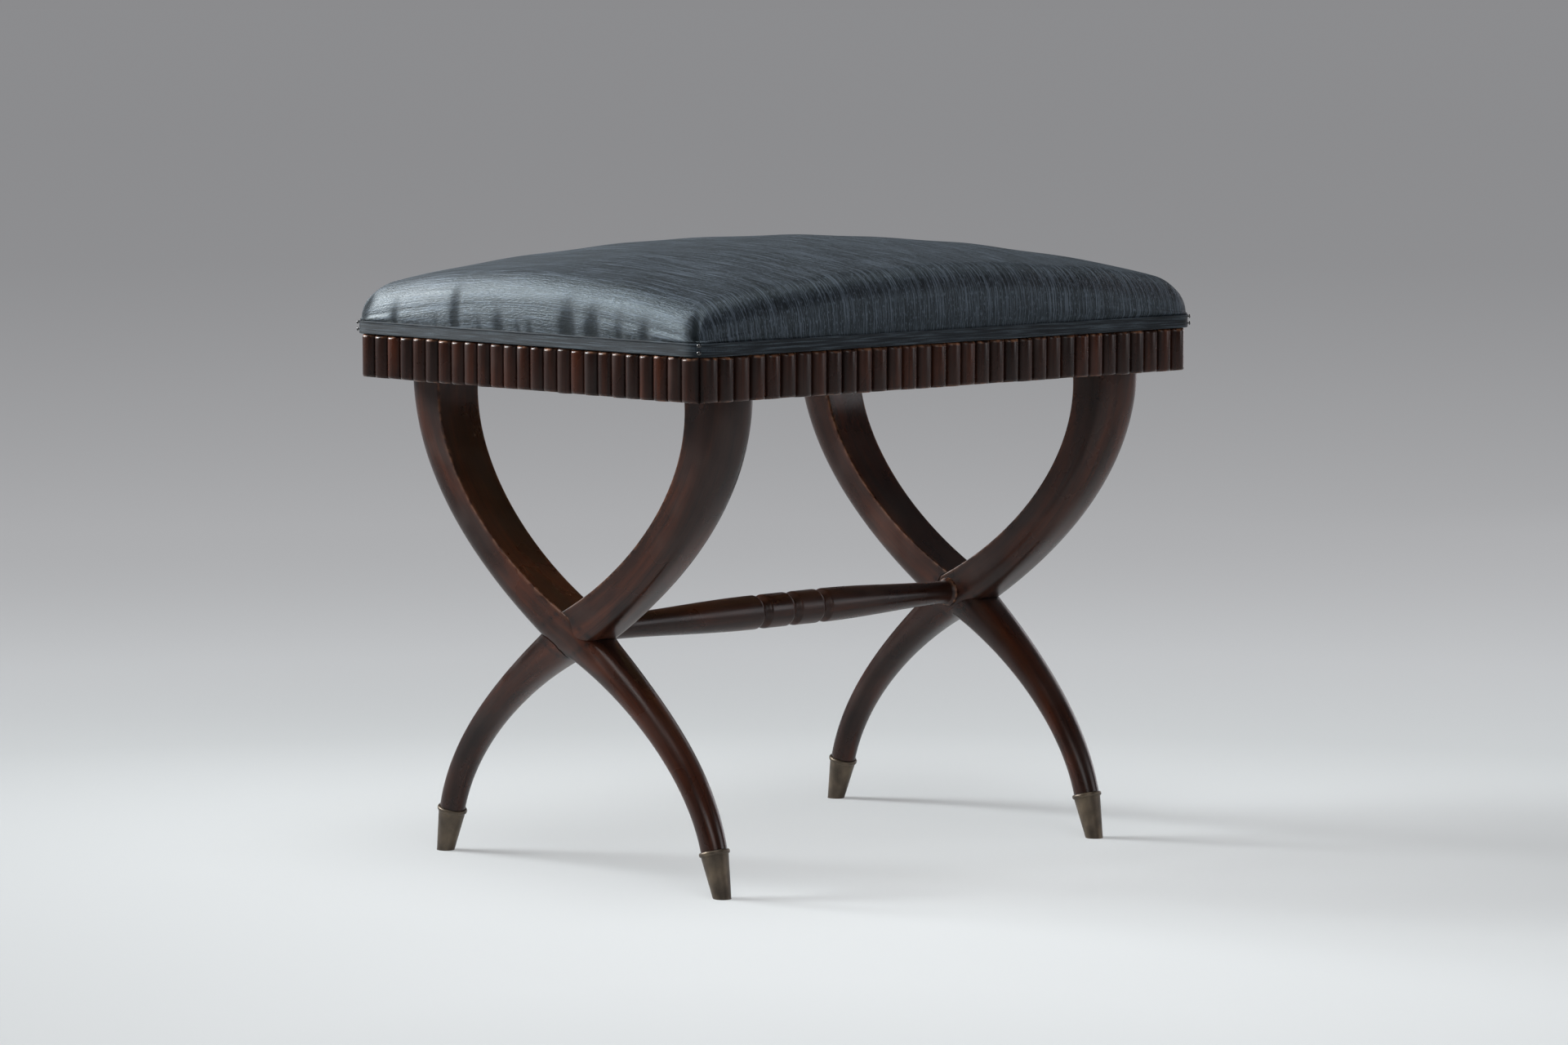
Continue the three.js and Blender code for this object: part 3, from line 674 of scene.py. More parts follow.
@dataclass(frozen=True)
class CurledHair(Finish):
    """Dark curled hair of the stuffing."""

    dark: Colour = srgb(38, 28, 22)
    pale: Colour = srgb(92, 74, 58)
    curl_depth: float = 1.5 * MM

    def lay(self, board: Board) -> None:
        """Lays tangled strands.

        Args:
            board: The empty board that takes its nodes.
        """
        place = board.place()
        tangle = board.noise(place, (300, 300, 300), detail=6, distortion=3.0)
        board.shade({
            "Base Color": board.blend(board.spread(tangle, 0.4, 0.65, 0, 1), self.dark, self.pale),
            "Roughness": 0.9,
            "Normal": board.relief(tangle, self.curl_depth),
        })


@dataclass(frozen=True)
class HorsehairCloth(Finish):
    """Glossy horsehair cloth: single hairs laid side by side, each with its own glint."""

    deep: Colour = srgb(7, 8, 11)
    body: Colour = srgb(18, 21, 26)
    light: Colour = srgb(72, 80, 90)
    painted_fold_shade: Colour = srgb(4, 5, 7)
    hair_depth: float = 0.2 * MM

    def lay(self, board: Board) -> None:
        """Lays hairs in three widths and their short glints, raised in the bump and also painted as pale
        specks in the colour, with painted shade in the gathers and pleats and the gloss stretched across.

        Args:
            board: The empty board that takes its nodes.
        """
        course = board.vector("cloth")
        hairs = board.noise(course, (1600, 34, 1))
        locks = board.noise(course, (640, 13, 1))
        broad = board.noise(course, (230, 5, 1), detail=3)
        glints = board.noise(course, (820, 250, 1), detail=3)
        mixed = board.total((hairs, 0.5), (locks, 0.32), (broad, 0.18))
        colour = board.ramp(mixed, [(0.43, self.deep), (0.5, self.body), (0.6, self.light)])
        # Painted glints: short pale specks in the light hair colour stand in for the glints of single
        # hairs.
        colour = board.blend(board.spread(glints, 0.56, 0.66, 0, 0.8), colour, self.light)
        # Painted shade: the fold value darkens the colour and roughens the gloss in the gathers and
        # pleats.
        fold = board.value("fold")
        colour = board.blend(fold, colour, self.painted_fold_shade)
        height = board.total((hairs, 1), (glints, 1.9), (locks, 1.2))
        board.shade({
            "Base Color": colour,
            "Roughness": board.maths("ADD", board.spread(locks, 0.35, 0.65, 0.42, 0.5), fold),
            "Normal": board.relief(height, self.hair_depth),
            "Anisotropic": 0.7,
            "Tangent": board.vector("spread"),
            "Specular IOR Level": 0.4,
            "Specular Tint": srgb(212, 238, 250),
        })


@dataclass(frozen=True)
class HorsehairBand(Finish):
    """Flat band of the same hair, woven so that it runs along the band."""

    deep: Colour = srgb(12, 14, 17)
    body: Colour = srgb(27, 31, 36)
    light: Colour = srgb(64, 73, 80)
    hair_depth: float = 0.15 * MM

    def lay(self, board: Board) -> None:
        """Lays hairs along the band, bound by fine cross threads.

        Args:
            board: The empty board that takes its nodes.
        """
        course = board.vector("cloth")
        hairs = board.noise(course, (14, 2400, 1))
        locks = board.noise(course, (30, 620, 1))
        binding = board.noise(course, (1100, 500, 1), detail=1)
        mixed = board.total((hairs, 0.5), (locks, 0.5))
        colour = board.ramp(mixed, [(0.38, self.deep), (0.5, self.body), (0.64, self.light)])
        colour = board.blend(board.spread(binding, 0.58, 0.68, 0, 0.5), colour, self.deep)
        board.shade({
            "Base Color": colour,
            "Roughness": 0.6,
            "Normal": board.relief(board.maths("ADD", hairs, locks), self.hair_depth),
            "Anisotropic": 0.6,
            "Tangent": board.vector("spread"),
            "Specular IOR Level": 0.2,
            "Specular Tint": srgb(228, 241, 248),
        })


@dataclass(frozen=True)
class DarkBead(Finish):
    """Glossy dark heads of the pins at the corners."""

    dark: Colour = srgb(7, 8, 10)
    dust: Colour = srgb(48, 46, 46)

    def lay(self, board: Board) -> None:
        """Lays a dark gloss with a little dust.

        Args:
            board: The empty board that takes its nodes.
        """
        dust = board.noise(board.place(), (900, 900, 900))
        board.shade({
            "Base Color": board.blend(board.spread(dust, 0.6, 0.75, 0, 0.5), self.dark, self.dust),
            "Roughness": board.spread(dust, 0.4, 0.7, 0.12, 0.3),
            "Coat Weight": 0.6,
            "Coat Roughness": 0.08,
        })


ROSEWOOD = PolishedRosewood("polished_rosewood", "rosewood")
BRASS = DulledBrass("dulled_brass", "brass")
LONG_BEECH = SawnBeech("sawn_beech_along_x", "beech", Grain.ALONG_X)
END_BEECH = SawnBeech("sawn_beech_along_y", "beech", Grain.ALONG_Y)
SCREW_STEEL = OldSteel("old_screw_steel", "screw_steel")
WEBBING = JuteWebbing("jute_webbing", "webbing")
HESSIAN = PlainHessian("plain_hessian", "hessian")
STUFFING = CurledHair("curled_hair_tangle", "curled_hair")
SEATING = HorsehairCloth("glossy_horsehair", "horsehair_cloth")
BANDING = HorsehairBand("horsehair_band", "woven_band")
BEAD = DarkBead("dark_bead", "dark_pin")


def dress(piece: Piece, finish: Finish, stands_for: Sequence[str], crease: float = 32) -> None:
    """Gives a finished shape its material and its place in the part.

    Args:
        piece: The new object.
        finish: What it is finished in.
        stands_for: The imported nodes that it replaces.
        crease: Edges that turn by more degrees than this stay sharp.
    """
    finish.put_on(piece)
    piece.data.shade_smooth()
    piece.data.set_sharp_from_angle(angle=math.radians(crease))
    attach(piece, BODY)
    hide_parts(*stands_for)
    log.info("%s: %d faces, stands for %s", piece.name, len(piece.data.polygons), ", ".join(stands_for))


# X frames


class Side(Enum):
    """The two x frames, as signs along X."""

    LEFT = -1
    RIGHT = 1


FERRULE_HEIGHT = 36 * MM
FOOT_SPREADS = {Side.LEFT: 164 * MM, Side.RIGHT: 152 * MM}
FOOT_LEAN = math.radians(14.5)


@dataclass(frozen=True)
class MemberPlan:
    """One curved member: its frame, the sign along Y of its arm's top, its leg's ridge and its plank.

    The members whose tops lie at the back are the outer ones.
    """

    side: Side
    top_side: int
    ridge: float
    plank: float

    @property
    def name(self) -> str:
        """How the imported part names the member."""
        return f"{self.side.name.lower()}_{'outer' if self.top_side > 0 else 'inner'}_member"

    @property
    def keeps(self) -> int:
        """The sign along X of the side on which the member runs on through the crossing."""
        return self.side.value * self.top_side


@dataclass
class XFrames:
    """The two x frames, each of two curved members halved together where they cross.

    A member is laid out in the plane of its frame, by its distance along Y on its own top side
    and its height, and mirrored to the other side for its partner.
    """

    plans: tuple[MemberPlan, ...] = (
        MemberPlan(Side.LEFT, 1, 0.32, 0.0),
        MemberPlan(Side.LEFT, -1, 0.08, 0.7),
        MemberPlan(Side.RIGHT, 1, 0.04, 1.9),
        MemberPlan(Side.RIGHT, -1, 0.1, 2.6),
    )
    arm_top_spread: float = 166 * MM
    arm_top_reach: float = 94 * MM
    crossing_slope: float = math.radians(26.5)
    arm_cross_reach: float = 64.5 * MM
    leg_cross_share: float = 0.05
    leg_foot_share: float = 0.467
    stretcher_lift: float = 2.5 * MM
    arm_depths: Triple = (43.5 * MM, 31 * MM, 34.75 * MM)
    arm_thicknesses: Triple = (42 * MM, 39.5 * MM, 36.5 * MM)
    leg_depths: Triple = (34.75 * MM, 22 * MM, 20.5 * MM)
    leg_thicknesses: Triple = (36.5 * MM, 29 * MM, 20.5 * MM)
    arris_shares: Triple = (0.05, 0.07, 1.0)
    round_shares: Triple = (0.85, 0.5, 1.0)
    widest_share: float = 0.1
    rounding_power: float = 0.3
    rounding_steps: int = 14
    tenon: Triple = (26 * MM, 20 * MM, 30 * MM)
    spigot_radii: Pair = (9.2 * MM, 5.4 * MM)
    spigot_clearance: float = 3.6 * MM
    lap_face_gap: float = 0.6 * MM
    socket_radius: float = 11.9 * MM
    socket_depth: float = 2.8 * MM
    bore_radius: float = 7.3 * MM
    bore_depth: float = 24 * MM
    stations: int = 62
    ring_points: int = 80
    edge_width: float = 1.8 * MM
    seam_width: float = 1.2 * MM
    seam_reach: float = 24 * MM
    seam_darkening: float = 0.9
    edge_wear: float = 0.22
    sharp_corners: Pair = (0.2, 0.8)
    ridge_start: Pair = (0.02, 0.16)
    ridge_end: Pair = (0.3, 0.8)
    corner_crowding: float = 0.2
    curve_steps: int = 1200
    socket_sides: int = 64
    overrun: float = 4 * MM

    def __post_init__(self) -> None:
        """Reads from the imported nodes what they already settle."""
        self.half_spacing = -middle_of("ferrule_front_left")[0]
        self.crossing_height = middle_of("stretcher")[2] - self.stretcher_lift
        self.top_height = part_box("front_reeding")[0].z

    def centre_line(self, side: Side) -> tuple[np.ndarray, np.ndarray, np.ndarray]:
        """Runs from the top of an arm through the crossing to the shoulder over the ferrule.

        Args:
            side: Which frame the member is in, since the feet of the two stand differently.

        Returns:
            Points, unit tangents, and shares that go 0 to 1 down the arm and 1 to 2 down the leg.
        """
        along = np.array([math.cos(self.crossing_slope), math.sin(self.crossing_slope)])
        up_leg = np.array([math.sin(FOOT_LEAN), math.cos(FOOT_LEAN)])
        top = np.array([self.arm_top_spread, self.top_height])
        crossing = np.array([0, self.crossing_height])
        foot_in = FOOT_SPREADS[side] - FERRULE_HEIGHT * math.tan(FOOT_LEAN)
        foot = np.array([-foot_in, FERRULE_HEIGHT])
        below_top = top - np.array([0, self.arm_top_reach])
        above_crossing = crossing + along * self.arm_cross_reach
        below_crossing = crossing - along * self.crossing_height * self.leg_cross_share
        above_foot = foot + up_leg * self.crossing_height * self.leg_foot_share
        arm, arm_ways = self.even_curve(np.array([top, below_top, above_crossing, crossing]))
        leg, leg_ways = self.even_curve(np.array([crossing, below_crossing, above_foot, foot]))
        shares = np.linspace(0, 1, self.stations)
        return (
            np.concatenate([arm, leg[1:]]),
            np.concatenate([arm_ways, leg_ways[1:]]),
            np.concatenate([shares, 1 + shares[1:]]),
        )

    def even_curve(self, controls: np.ndarray) -> tuple[np.ndarray, np.ndarray]:
        """Points at even distances along a curve of four controls, and their unit tangents.

        Args:
            controls: The four control points.

        Returns:
            The points and the tangents, one row each.
        """
        fine = np.linspace(0, 1, self.curve_steps)[:, None]
        weights = ((1 - fine) ** 3, 3 * fine * (1 - fine) ** 2, 3 * fine**2 * (1 - fine), fine**3)
        line = sum(weight * control for weight, control in zip(weights, controls))
        travelled = travelled_along(line)
        even = np.interp(np.linspace(0, travelled[-1], self.stations), travelled, fine[:, 0])
        share = even[:, None]
        rises = np.diff(controls, axis=0)
        way = (1 - share) ** 2 * rises[0] + 2 * share * (1 - share) * rises[1] + share**2 * rises[2]
        points = np.stack([np.interp(even, fine[:, 0], line[:, part]) for part in (0, 1)], axis=1)
        return points, way / np.linalg.norm(way, axis=1)[:, None]

    @staticmethod
    def through_three(values: Sequence[float], share: np.ndarray) -> np.ndarray:
        """Goes through three values at the start, middle and end of a run.

        Args:
            values: The three values.
            share: Shares of the way along the run.

        Returns:
            The value at each share.
        """
        early = 2 * (share - 0.5) * (share - 1)
        centre = 4 * share * (1 - share)
        late = 2 * share * (share - 0.5)
        return values[0] * early + values[1] * centre + values[2] * late

    def sections(self, shares: np.ndarray, ridge: float) -> dict[str, np.ndarray]:
        """Sizes and corner shares of the section at each station.

        Args:
            shares: Where the stations lie, 0 to 1 down the arm and 1 to 2 down the leg.
            ridge: How much the upper side of the leg is drawn up to a ridge.

        Returns:
            Depth, thickness, the two corner shares and the share of the widest line.
        """
        on_arm = shares <= 1
        down_arm, down_leg = np.clip(shares, 0, 1), np.clip(shares - 1, 0, 1)
        knots = np.linspace(0, 1, self.rounding_steps + 1)
        rounding = np.interp(down_leg, knots, knots**self.rounding_power)
        arm_depth = self.through_three(self.arm_depths, down_arm)
        leg_depth = self.through_three(self.leg_depths, down_leg)
        arm_thickness = self.through_three(self.arm_thicknesses, down_arm)
        leg_thickness = self.through_three(self.leg_thicknesses, down_leg)
        turned_over = down_arm + rounding
        ridged = smooth_step(*self.ridge_start, down_leg) * (1 - smooth_step(*self.ridge_end, down_leg))
        return {
            "depth": np.where(on_arm, arm_depth, leg_depth),
            "thickness": np.where(on_arm, arm_thickness, leg_thickness),
            "arris": np.interp(turned_over, (0, 1, 2), self.arris_shares) + ridge * ridged,
            "round": np.interp(turned_over, (0, 1, 2), self.round_shares),
            "widest": self.widest_share * (1 - rounding),
        }

    def section_ring(self, arris: float, rounding: float, widest: float) -> np.ndarray:
        """Outline of a section with two arrises on its flat side, as shares of its half sizes.

        Args:
            arris: Corner share of the flat side, where 1 is fully round and more is a ridge.
            rounding: Corner share of the other side.
            widest: How far the widest line lies towards the flat side.

        Returns:
            Rows of the share across and the share out towards the flat side.
        """
        turn = np.linspace(0, math.tau, self.ring_points, endpoint=False)
        angle = turn + self.corner_crowding * np.sin(4 * turn)
        face, side = np.cos(angle), np.sin(angle)
        on_flat = face > 0
        power = np.where(on_flat, 2 / arris, 2 / rounding)
        reach = (np.abs(face) ** power + np.abs(side) ** power) ** (-1 / power)
        far = np.where(on_flat, 1 - widest, 1 + widest)
        return np.stack([side * reach, widest + far * face * reach], axis=1)

    def whole_member(self, plan: MemberPlan, grow_across: float, grow_out: float) -> Piece:
        """A member before it is halved, with its spigot.

        Args:
            plan: Which member it is.
            grow_across: How far its sides are moved out across the frame.
            grow_out: How far its edges are moved out in the frame's plane.

        Returns:
            The closed member, centred on its frame.
        """
        points, tangents, shares = self.centre_line(plan.side)
        rings = []
        for place, way, *size in zip(points, tangents, *self.sections(shares, plan.ridge).values()):
            depth, thickness, arris, rounding, widest = size
            half_sizes = np.array([thickness / 2 + grow_across, depth / 2 + grow_out])
            outline = self.section_ring(arris, rounding, widest) * half_sizes
            rings.append(self.ring_at(place, way, outline, plan.top_side))
        outline = self.section_ring(1, 1, 0)
        bore = FERRULE_HEIGHT / math.cos(FOOT_LEAN) - self.spigot_clearance
        for drop, radius in zip((0, bore), self.spigot_radii):
            place = points[-1] + tangents[-1] * drop
            rings.append(self.ring_at(place, tangents[-1], outline * radius, plan.top_side))
        return lofted(f"{plan.name}_dressed", np.array(rings))

    @staticmethod
    def ring_at(place: np.ndarray, way: np.ndarray, outline: np.ndarray, top_side: int) -> np.ndarray:
        """Stands a section across a member.

        Args:
            place: The centre line's point, along Y on the member's top side and up.
            way: The centre line's tangent there.
            outline: Each point's distance across the frame and towards the member's flat side.
            top_side: The sign along Y of the member's top.

        Returns:
            The ring's points.
        """
        across, out = outline.T
        return np.stack([across, top_side * (place[0] + way[1] * out), place[1] - way[0] * out], axis=1)

    def member(self, plan: MemberPlan, partner_plan: MemberPlan) -> Piece:
        """One member with its tenon, halved into its partner and bored for the stretcher.

        Args:
            plan: The member.
            partner_plan: The member that it crosses.

        Returns:
            The member, centred on its frame.
        """
        body = self.whole_member(plan, 0, 0)
        width, depth, length = self.tenon
        place = plan.top_side * self.arm_top_spread
        low = (-width / 2, place - depth / 2, self.top_height - self.overrun)
        high = (width / 2, place + depth / 2, self.top_height + length)
        carve(body, block("tenon", low, high), Cut.JOIN)
        partner = self.whole_member(partner_plan, self.lap_face_gap, FIT_GAP)
        near, far = sorted((plan.keeps * FIT_GAP / 2, -plan.keeps * self.half_spacing))
        zone_low = (near, -self.arm_top_spread, FERRULE_HEIGHT)
        zone_high = (far, self.arm_top_spread, self.top_height)
        carve(partner, block("zone", zone_low, zone_high), Cut.SHARED)
        carve(body, partner, Cut.AWAY)
        face = self.arm_thicknesses[2] / 2
        seat = self.socket_depth - face
        profile = np.array([
            (self.socket_radius, -face - self.overrun),
            (self.socket_radius, seat),
            (self.bore_radius, seat),
            (self.bore_radius, seat + self.bore_depth),
        ])
        centre = Vector((0, 0, self.crossing_height + self.stretcher_lift))
        outward = Vector((plan.side.value, 0, 0))
        carve(body, turned("socket", profile, self.socket_sides, centre, outward), Cut.AWAY)
        return body

    def note_grain(self, body: Piece, plan: MemberPlan) -> None:
        """Writes down where each vertex lies in the grain, how rubbed it is, and a dark line along the
        joint where the members meet at the crossing.

        Args:
            body: The member, centred on its frame.
            plan: Which member it is.
        """
        line, tangents, shares = self.centre_line(plan.side)
        corners = corners_of(body)
        flat = np.stack([plan.top_side * corners[:, 1], corners[:, 2]], axis=1)
        away = np.linalg.norm(flat[:, None, :] - line[None, :, :], axis=2)
        nearest = away.argmin(axis=1)
        gap, way = flat - line[nearest], tangents[nearest]
        along = travelled_along(line)[nearest] + (gap * way).sum(axis=1)
        out = gap[:, 0] * way[:, 1] - gap[:, 1] * way[:, 0]
        note_vectors(body, "grain", np.stack([along, corners[:, 0], out], axis=1) + plan.plank)
        sizes = self.sections(shares, plan.ridge)
        short_across = sizes["thickness"][nearest] / 2 - np.abs(corners[:, 0])
        short_out = sizes["depth"][nearest] / 2 - out
        from_edge = np.hypot(np.maximum(short_across, 0), np.maximum(short_out, 0))
        sharpness = 1 - smooth_step(*self.sharp_corners, sizes["arris"][nearest])
        rubbed = np.exp(-((from_edge / self.edge_width) ** 2)) * sharpness
        note_values(body, "wear", self.edge_wear * rubbed)
        # A narrow dark line is painted along the joint where the two members meet, near the crossing.
        mirrored = flat * np.array([-1, 1])
        beside = np.linalg.norm(mirrored[:, None, :] - line[None, :, :], axis=2)
        from_seam = beside.min(axis=1) - sizes["depth"][beside.argmin(axis=1)] / 2 - FIT_GAP
        near = np.abs(corners[:, 2] - self.crossing_height) < self.seam_reach
        note_values(body, "darkening", self.seam_darkening * near * np.exp(-((from_seam / self.seam_width) ** 2)))

    def build(self) -> None:
        """Builds the four members and stands each in its frame."""
        for plan in self.plans:
            partner = next(other for other in self.plans if other.side == plan.side and other is not plan)
            body = self.member(plan, partner)
            self.note_grain(body, plan)
            corners = corners_of(body)
            corners[:, 0] += plan.side.value * self.half_spacing
            move_corners(body, corners)
            dress(body, ROSEWOOD, [plan.name])


@dataclass
class Ferrules:
    """Brass ferrules sleeved over the feet, with a bead at the mouth and cut level with the floor."""

    bead_radius: float = 12 * MM
    bead_height: float = 3.6 * MM
    neck_radius: float = 10.8 * MM
    tip_radius: float = 7 * MM
    wall: float = 1.3 * MM
    base: float = 3 * MM
    taper_start: float = 0.1
    taper_steps: int = 8
    bead_steps: int = 10
    sides: int = 72

    def profile(self) -> np.ndarray:
        """Radius and distance up the foot's axis, outside first and then down the bore.

        Returns:
            Rows of radius and distance.
        """
        top = FERRULE_HEIGHT / math.cos(FOOT_LEAN) - FIT_GAP
        bead_start = top - self.bead_height
        rows = [(self.tip_radius, -self.bead_radius), (self.tip_radius, 0)]
        rows += [
            (self.tip_radius + (self.neck_radius - self.tip_radius) * share, bead_start * share)
            for share in np.linspace(self.taper_start, 1, self.taper_steps)
        ]
        for angle in np.linspace(0, math.pi, self.bead_steps)[1:]:
            stand_out = (self.bead_radius - self.neck_radius) * math.sin(angle)
            rise = self.bead_height * (1 - math.cos(angle)) / 2
            rows.append((self.neck_radius + stand_out, bead_start + rise))
        rows += [(self.neck_radius - self.wall, top), (self.tip_radius - self.wall, self.base)]
        return np.array(rows)

    def build(self) -> None:
        """Builds the four ferrules on their feet."""
        for corner in Corner:
            along, across = corner.value
            name = f"ferrule_{corner.label}"
            foot = Vector((middle_of(name)[0], across * FOOT_SPREADS[Side(along)], 0))
            axis = Vector((0, -across * math.sin(FOOT_LEAN), math.cos(FOOT_LEAN)))
            body = turned(f"{name}_dressed", self.profile(), self.sides, foot, axis)
            trim_below(body, 0)
            dress(body, BRASS, [name])


@dataclass
class Stretcher:
    """Turned stretcher: three grooves on its middle, a long swell and a ring at each end."""

    middle_radius: float = 13.8 * MM
    neck_radius: float = 9.4 * MM
    ring_radius: float = 11.6 * MM
    ring_width: float = 5 * MM
    ring_edge: float = 1.25 * MM
    tenon_radius: float = 7 * MM
    tenon_length: float = 24 * MM
    groove_spacing: float = 33.5 * MM
    groove_half_width: float = 4.5 * MM
    groove_depth: float = 4 * MM
    bands_off_centre: float = 11.5 * MM
    step: float = 0.5 * MM
    softening: int = 2
    ring_wear: float = 0.5
    grain_shift: Triple = (0.4, 0.3, 0.0)
    sides: int = 96

    def radius_at(self, places: np.ndarray, shoulder: float) -> np.ndarray:
        """Radius of the turning between its shoulders.

        Args:
            places: Distances along X from the middle of the stool.
            shoulder: Where the rings end against the frames.

        Returns:
            The radius at each place.
        """
        from_bands = places - self.bands_off_centre
        swell_start = self.groove_spacing + self.groove_half_width
        side = np.sign(from_bands)
        ring_start = shoulder - self.ring_width - side * self.bands_off_centre
        share = np.clip((np.abs(from_bands) - swell_start) / (ring_start - swell_start), 0, 1)
        ease = (1 - np.cos(math.pi * share)) / 2
        radius = self.middle_radius + (self.neck_radius - self.middle_radius) * ease
        for groove in (-1, 0, 1):
            off = np.abs(from_bands - groove * self.groove_spacing) / self.groove_half_width
            radius -= self.groove_depth * np.clip(1 - off, 0, 1)
        rise = smooth_step(0, self.ring_edge, np.abs(places) - shoulder + self.ring_width)
        return radius + (self.ring_radius - self.neck_radius) * rise

    def build(self) -> None:
        """Builds the stretcher with its tenons, and writes down its grain."""
        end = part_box("stretcher")[1].x
        shoulder = end - self.tenon_length
        places = np.linspace(-shoulder, shoulder, int(2 * shoulder / self.step))
        radius = self.radius_at(places, shoulder)
        kernel = np.ones(2 * self.softening + 1) / (2 * self.softening + 1)
        soft = np.convolve(np.pad(radius, self.softening, mode="edge"), kernel, mode="valid")
        turning = [(self.tenon_radius, -end), (self.tenon_radius, -shoulder)]
        turning += [*zip(soft, places), (self.tenon_radius, shoulder), (self.tenon_radius, end)]
        centre = Vector((0, *middle_of("stretcher")[1:]))
        body = turned("stretcher_dressed", np.array(turning), self.sides, centre, Vector((1, 0, 0)))
        corners = corners_of(body)
        note_vectors(body, "grain", corners + np.array(self.grain_shift))
        girth = np.hypot(corners[:, 1] - centre.y, corners[:, 2] - centre.z)
        wear = smooth_step(self.neck_radius, self.ring_radius, girth)
        at_ring = smooth_step(0, self.ring_edge, np.abs(corners[:, 0]) - shoulder + self.ring_width)
        note_values(body, "wear", self.ring_wear * wear * at_ring)
        dress(body, ROSEWOOD, ["stretcher"])


# Seat frame and apron


@dataclass
class ReededApron:
    """Reeded moulding round the seat frame: half-round reeds on a backing, rubbed at their ends."""

    long_reeds: int = 33
    short_reeds: int = 25
    rise: float = 8 * MM
    backing: float = 6 * MM
    steps: int = 20
    end_round: float = 2.4 * MM
    end_steps: int = 5
    crest_play: float = 0.25 * MM
    end_play: float = 0.7 * MM
    end_stand: float = 0.72
    least_wear: float = 0.1
    foot_wear: float = 0.4
    wear_shares: Pair = (0.1, 0.6)
    valley_shade: float = 0.85
    valley_shade_span: Pair = (0.1, 0.75)
    plank_steps: Pair = (0.31, 0.17)
    seed: int = 11

    def outline(self, length: float, count: int) -> tuple[np.ndarray, np.ndarray, np.ndarray]:
        """Plan of one side's reeds, along the side and out from its backing.

        Args:
            length: Length of the side.
            count: How many reeds it has.

        Returns:
            Places along the side, how far each stands out as a share of the rise, and its reed.
        """
        pitch = length / count
        angles = np.linspace(math.pi, 0, self.steps + 1)
        along, out, reed = [], [], []
        for number in range(count):
            middle = -length / 2 + (number + 0.5) * pitch
            first = 0 if number == 0 else 1
            along.append(middle + pitch / 2 * np.cos(angles[first:]))
            out.append(np.sin(angles[first:]))
            reed.append(np.full(len(angles) - first, number))
        return np.concatenate(along), np.concatenate(out), np.concatenate(reed)

    def build_side(self, name: str, count: int, turn: float, number: int) -> None:
        """Builds one side's moulding.

        Args:
            name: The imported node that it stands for.
            count: How many reeds it has.
            turn: How far the side is turned about Z from the back.
            number: The side's number, which sets its unevenness apart.
        """
        low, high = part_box(name)
        along_x = abs(math.cos(turn)) > 0.5
        length = high.x - low.x if along_x else high.y - low.y
        reach = max(abs(low.y), high.y) if along_x else max(abs(low.x), high.x)
        stand_off = reach - self.rise - self.backing
        along, out, reed = self.outline(length + FIT_GAP, count)
        along = np.clip(along, -length / 2, length / 2)
        back_along = np.clip(along, self.backing - length / 2, length / 2 - self.backing)
        chance = np.random.default_rng(self.seed + number)
        crest = 1 - chance.uniform(0, self.crest_play / self.rise, count)[reed]
        rubbed = chance.uniform(self.least_wear, 1, count)[reed]
        short_top = chance.uniform(0, self.end_play, count)[reed]
        short_foot = chance.uniform(0, self.end_play, count)[reed]
        levels, rings = self.levels(high.z - low.z), []
        for level, shrink, is_top in levels:
            shorten = (-short_top if is_top else short_foot) * out
            front_out = stand_off + self.backing + self.rise * crest * out * shrink
            front = [along, front_out, low.z + level + shorten]
            back = [back_along, 0 * along + stand_off, 0 * along + low.z + level]
            rings.append(np.concatenate([np.stack(front, axis=1), np.stack(back, axis=1)[::-1]]))
        faces = self.faces(len(levels), len(along))
        body = closed_object(f"{name}_dressed", np.concatenate(rings), faces)
        reeds, rubs = (np.tile(np.concatenate([row, row[::-1]]), len(levels)) for row in (reed, rubbed))
        stands = np.tile(np.concatenate([out, 0 * out]), len(levels))
        above_foot = np.repeat([level for level, _, _ in levels], 2 * len(along))
        self.note_looks(body, number, reeds, stands)
        note_values(body, "wear", rubs * stands * self.end_wear(above_foot, high.z - low.z))
        cosine, sine = math.cos(turn), math.sin(turn)
        turning = np.array([[cosine, sine, 0], [-sine, cosine, 0], [0, 0, 1]])
        move_corners(body, corners_of(body) @ turning)
        dress(body, ROSEWOOD, [name])

    def note_looks(self, body: Piece, number: int, reeds: np.ndarray, stands: np.ndarray) -> None:
        """Writes down where each vertex lies in its reed's grain, and the painted shade in the valleys
        between the reeds.

        Args:
            body: The moulding, before it is turned to its side.
            number: The side's number.
            reeds: The number of each vertex's reed.
            stands: How far each vertex stands out, from 0 to 1.
        """
        along, out, up = corners_of(body).T
        planks = [up + self.plank_steps[0] * reeds, along + self.plank_steps[1] * reeds, out + number]
        note_vectors(body, "grain", np.stack(planks, axis=1))
        # Painted shade: the valleys between the reeds are darkened where the reeds sink to the backing.
        note_values(body, "darkening", self.valley_shade * (1 - smooth_step(*self.valley_shade_span, stands)))

    def levels(self, height: float) -> list[tuple[float, float, bool]]:
        """Lays out the rings of a moulding, close together over its rounded ends.

        Args:
            height: The moulding's height.

        Returns:
            Each ring's height, share of the rise and whether it is near the top.
        """
        angles = np.linspace(0, math.pi / 2, self.end_steps)
        levels = self.end_round * (1 - np.cos(angles))
        stands = self.end_stand + (1 - self.end_stand) * np.sin(angles)
        lower = [(level, stand, False) for level, stand in zip(levels, stands)]
        upper = [(height - level, stand, True) for level, stand, _ in reversed(lower)]
        return lower + upper

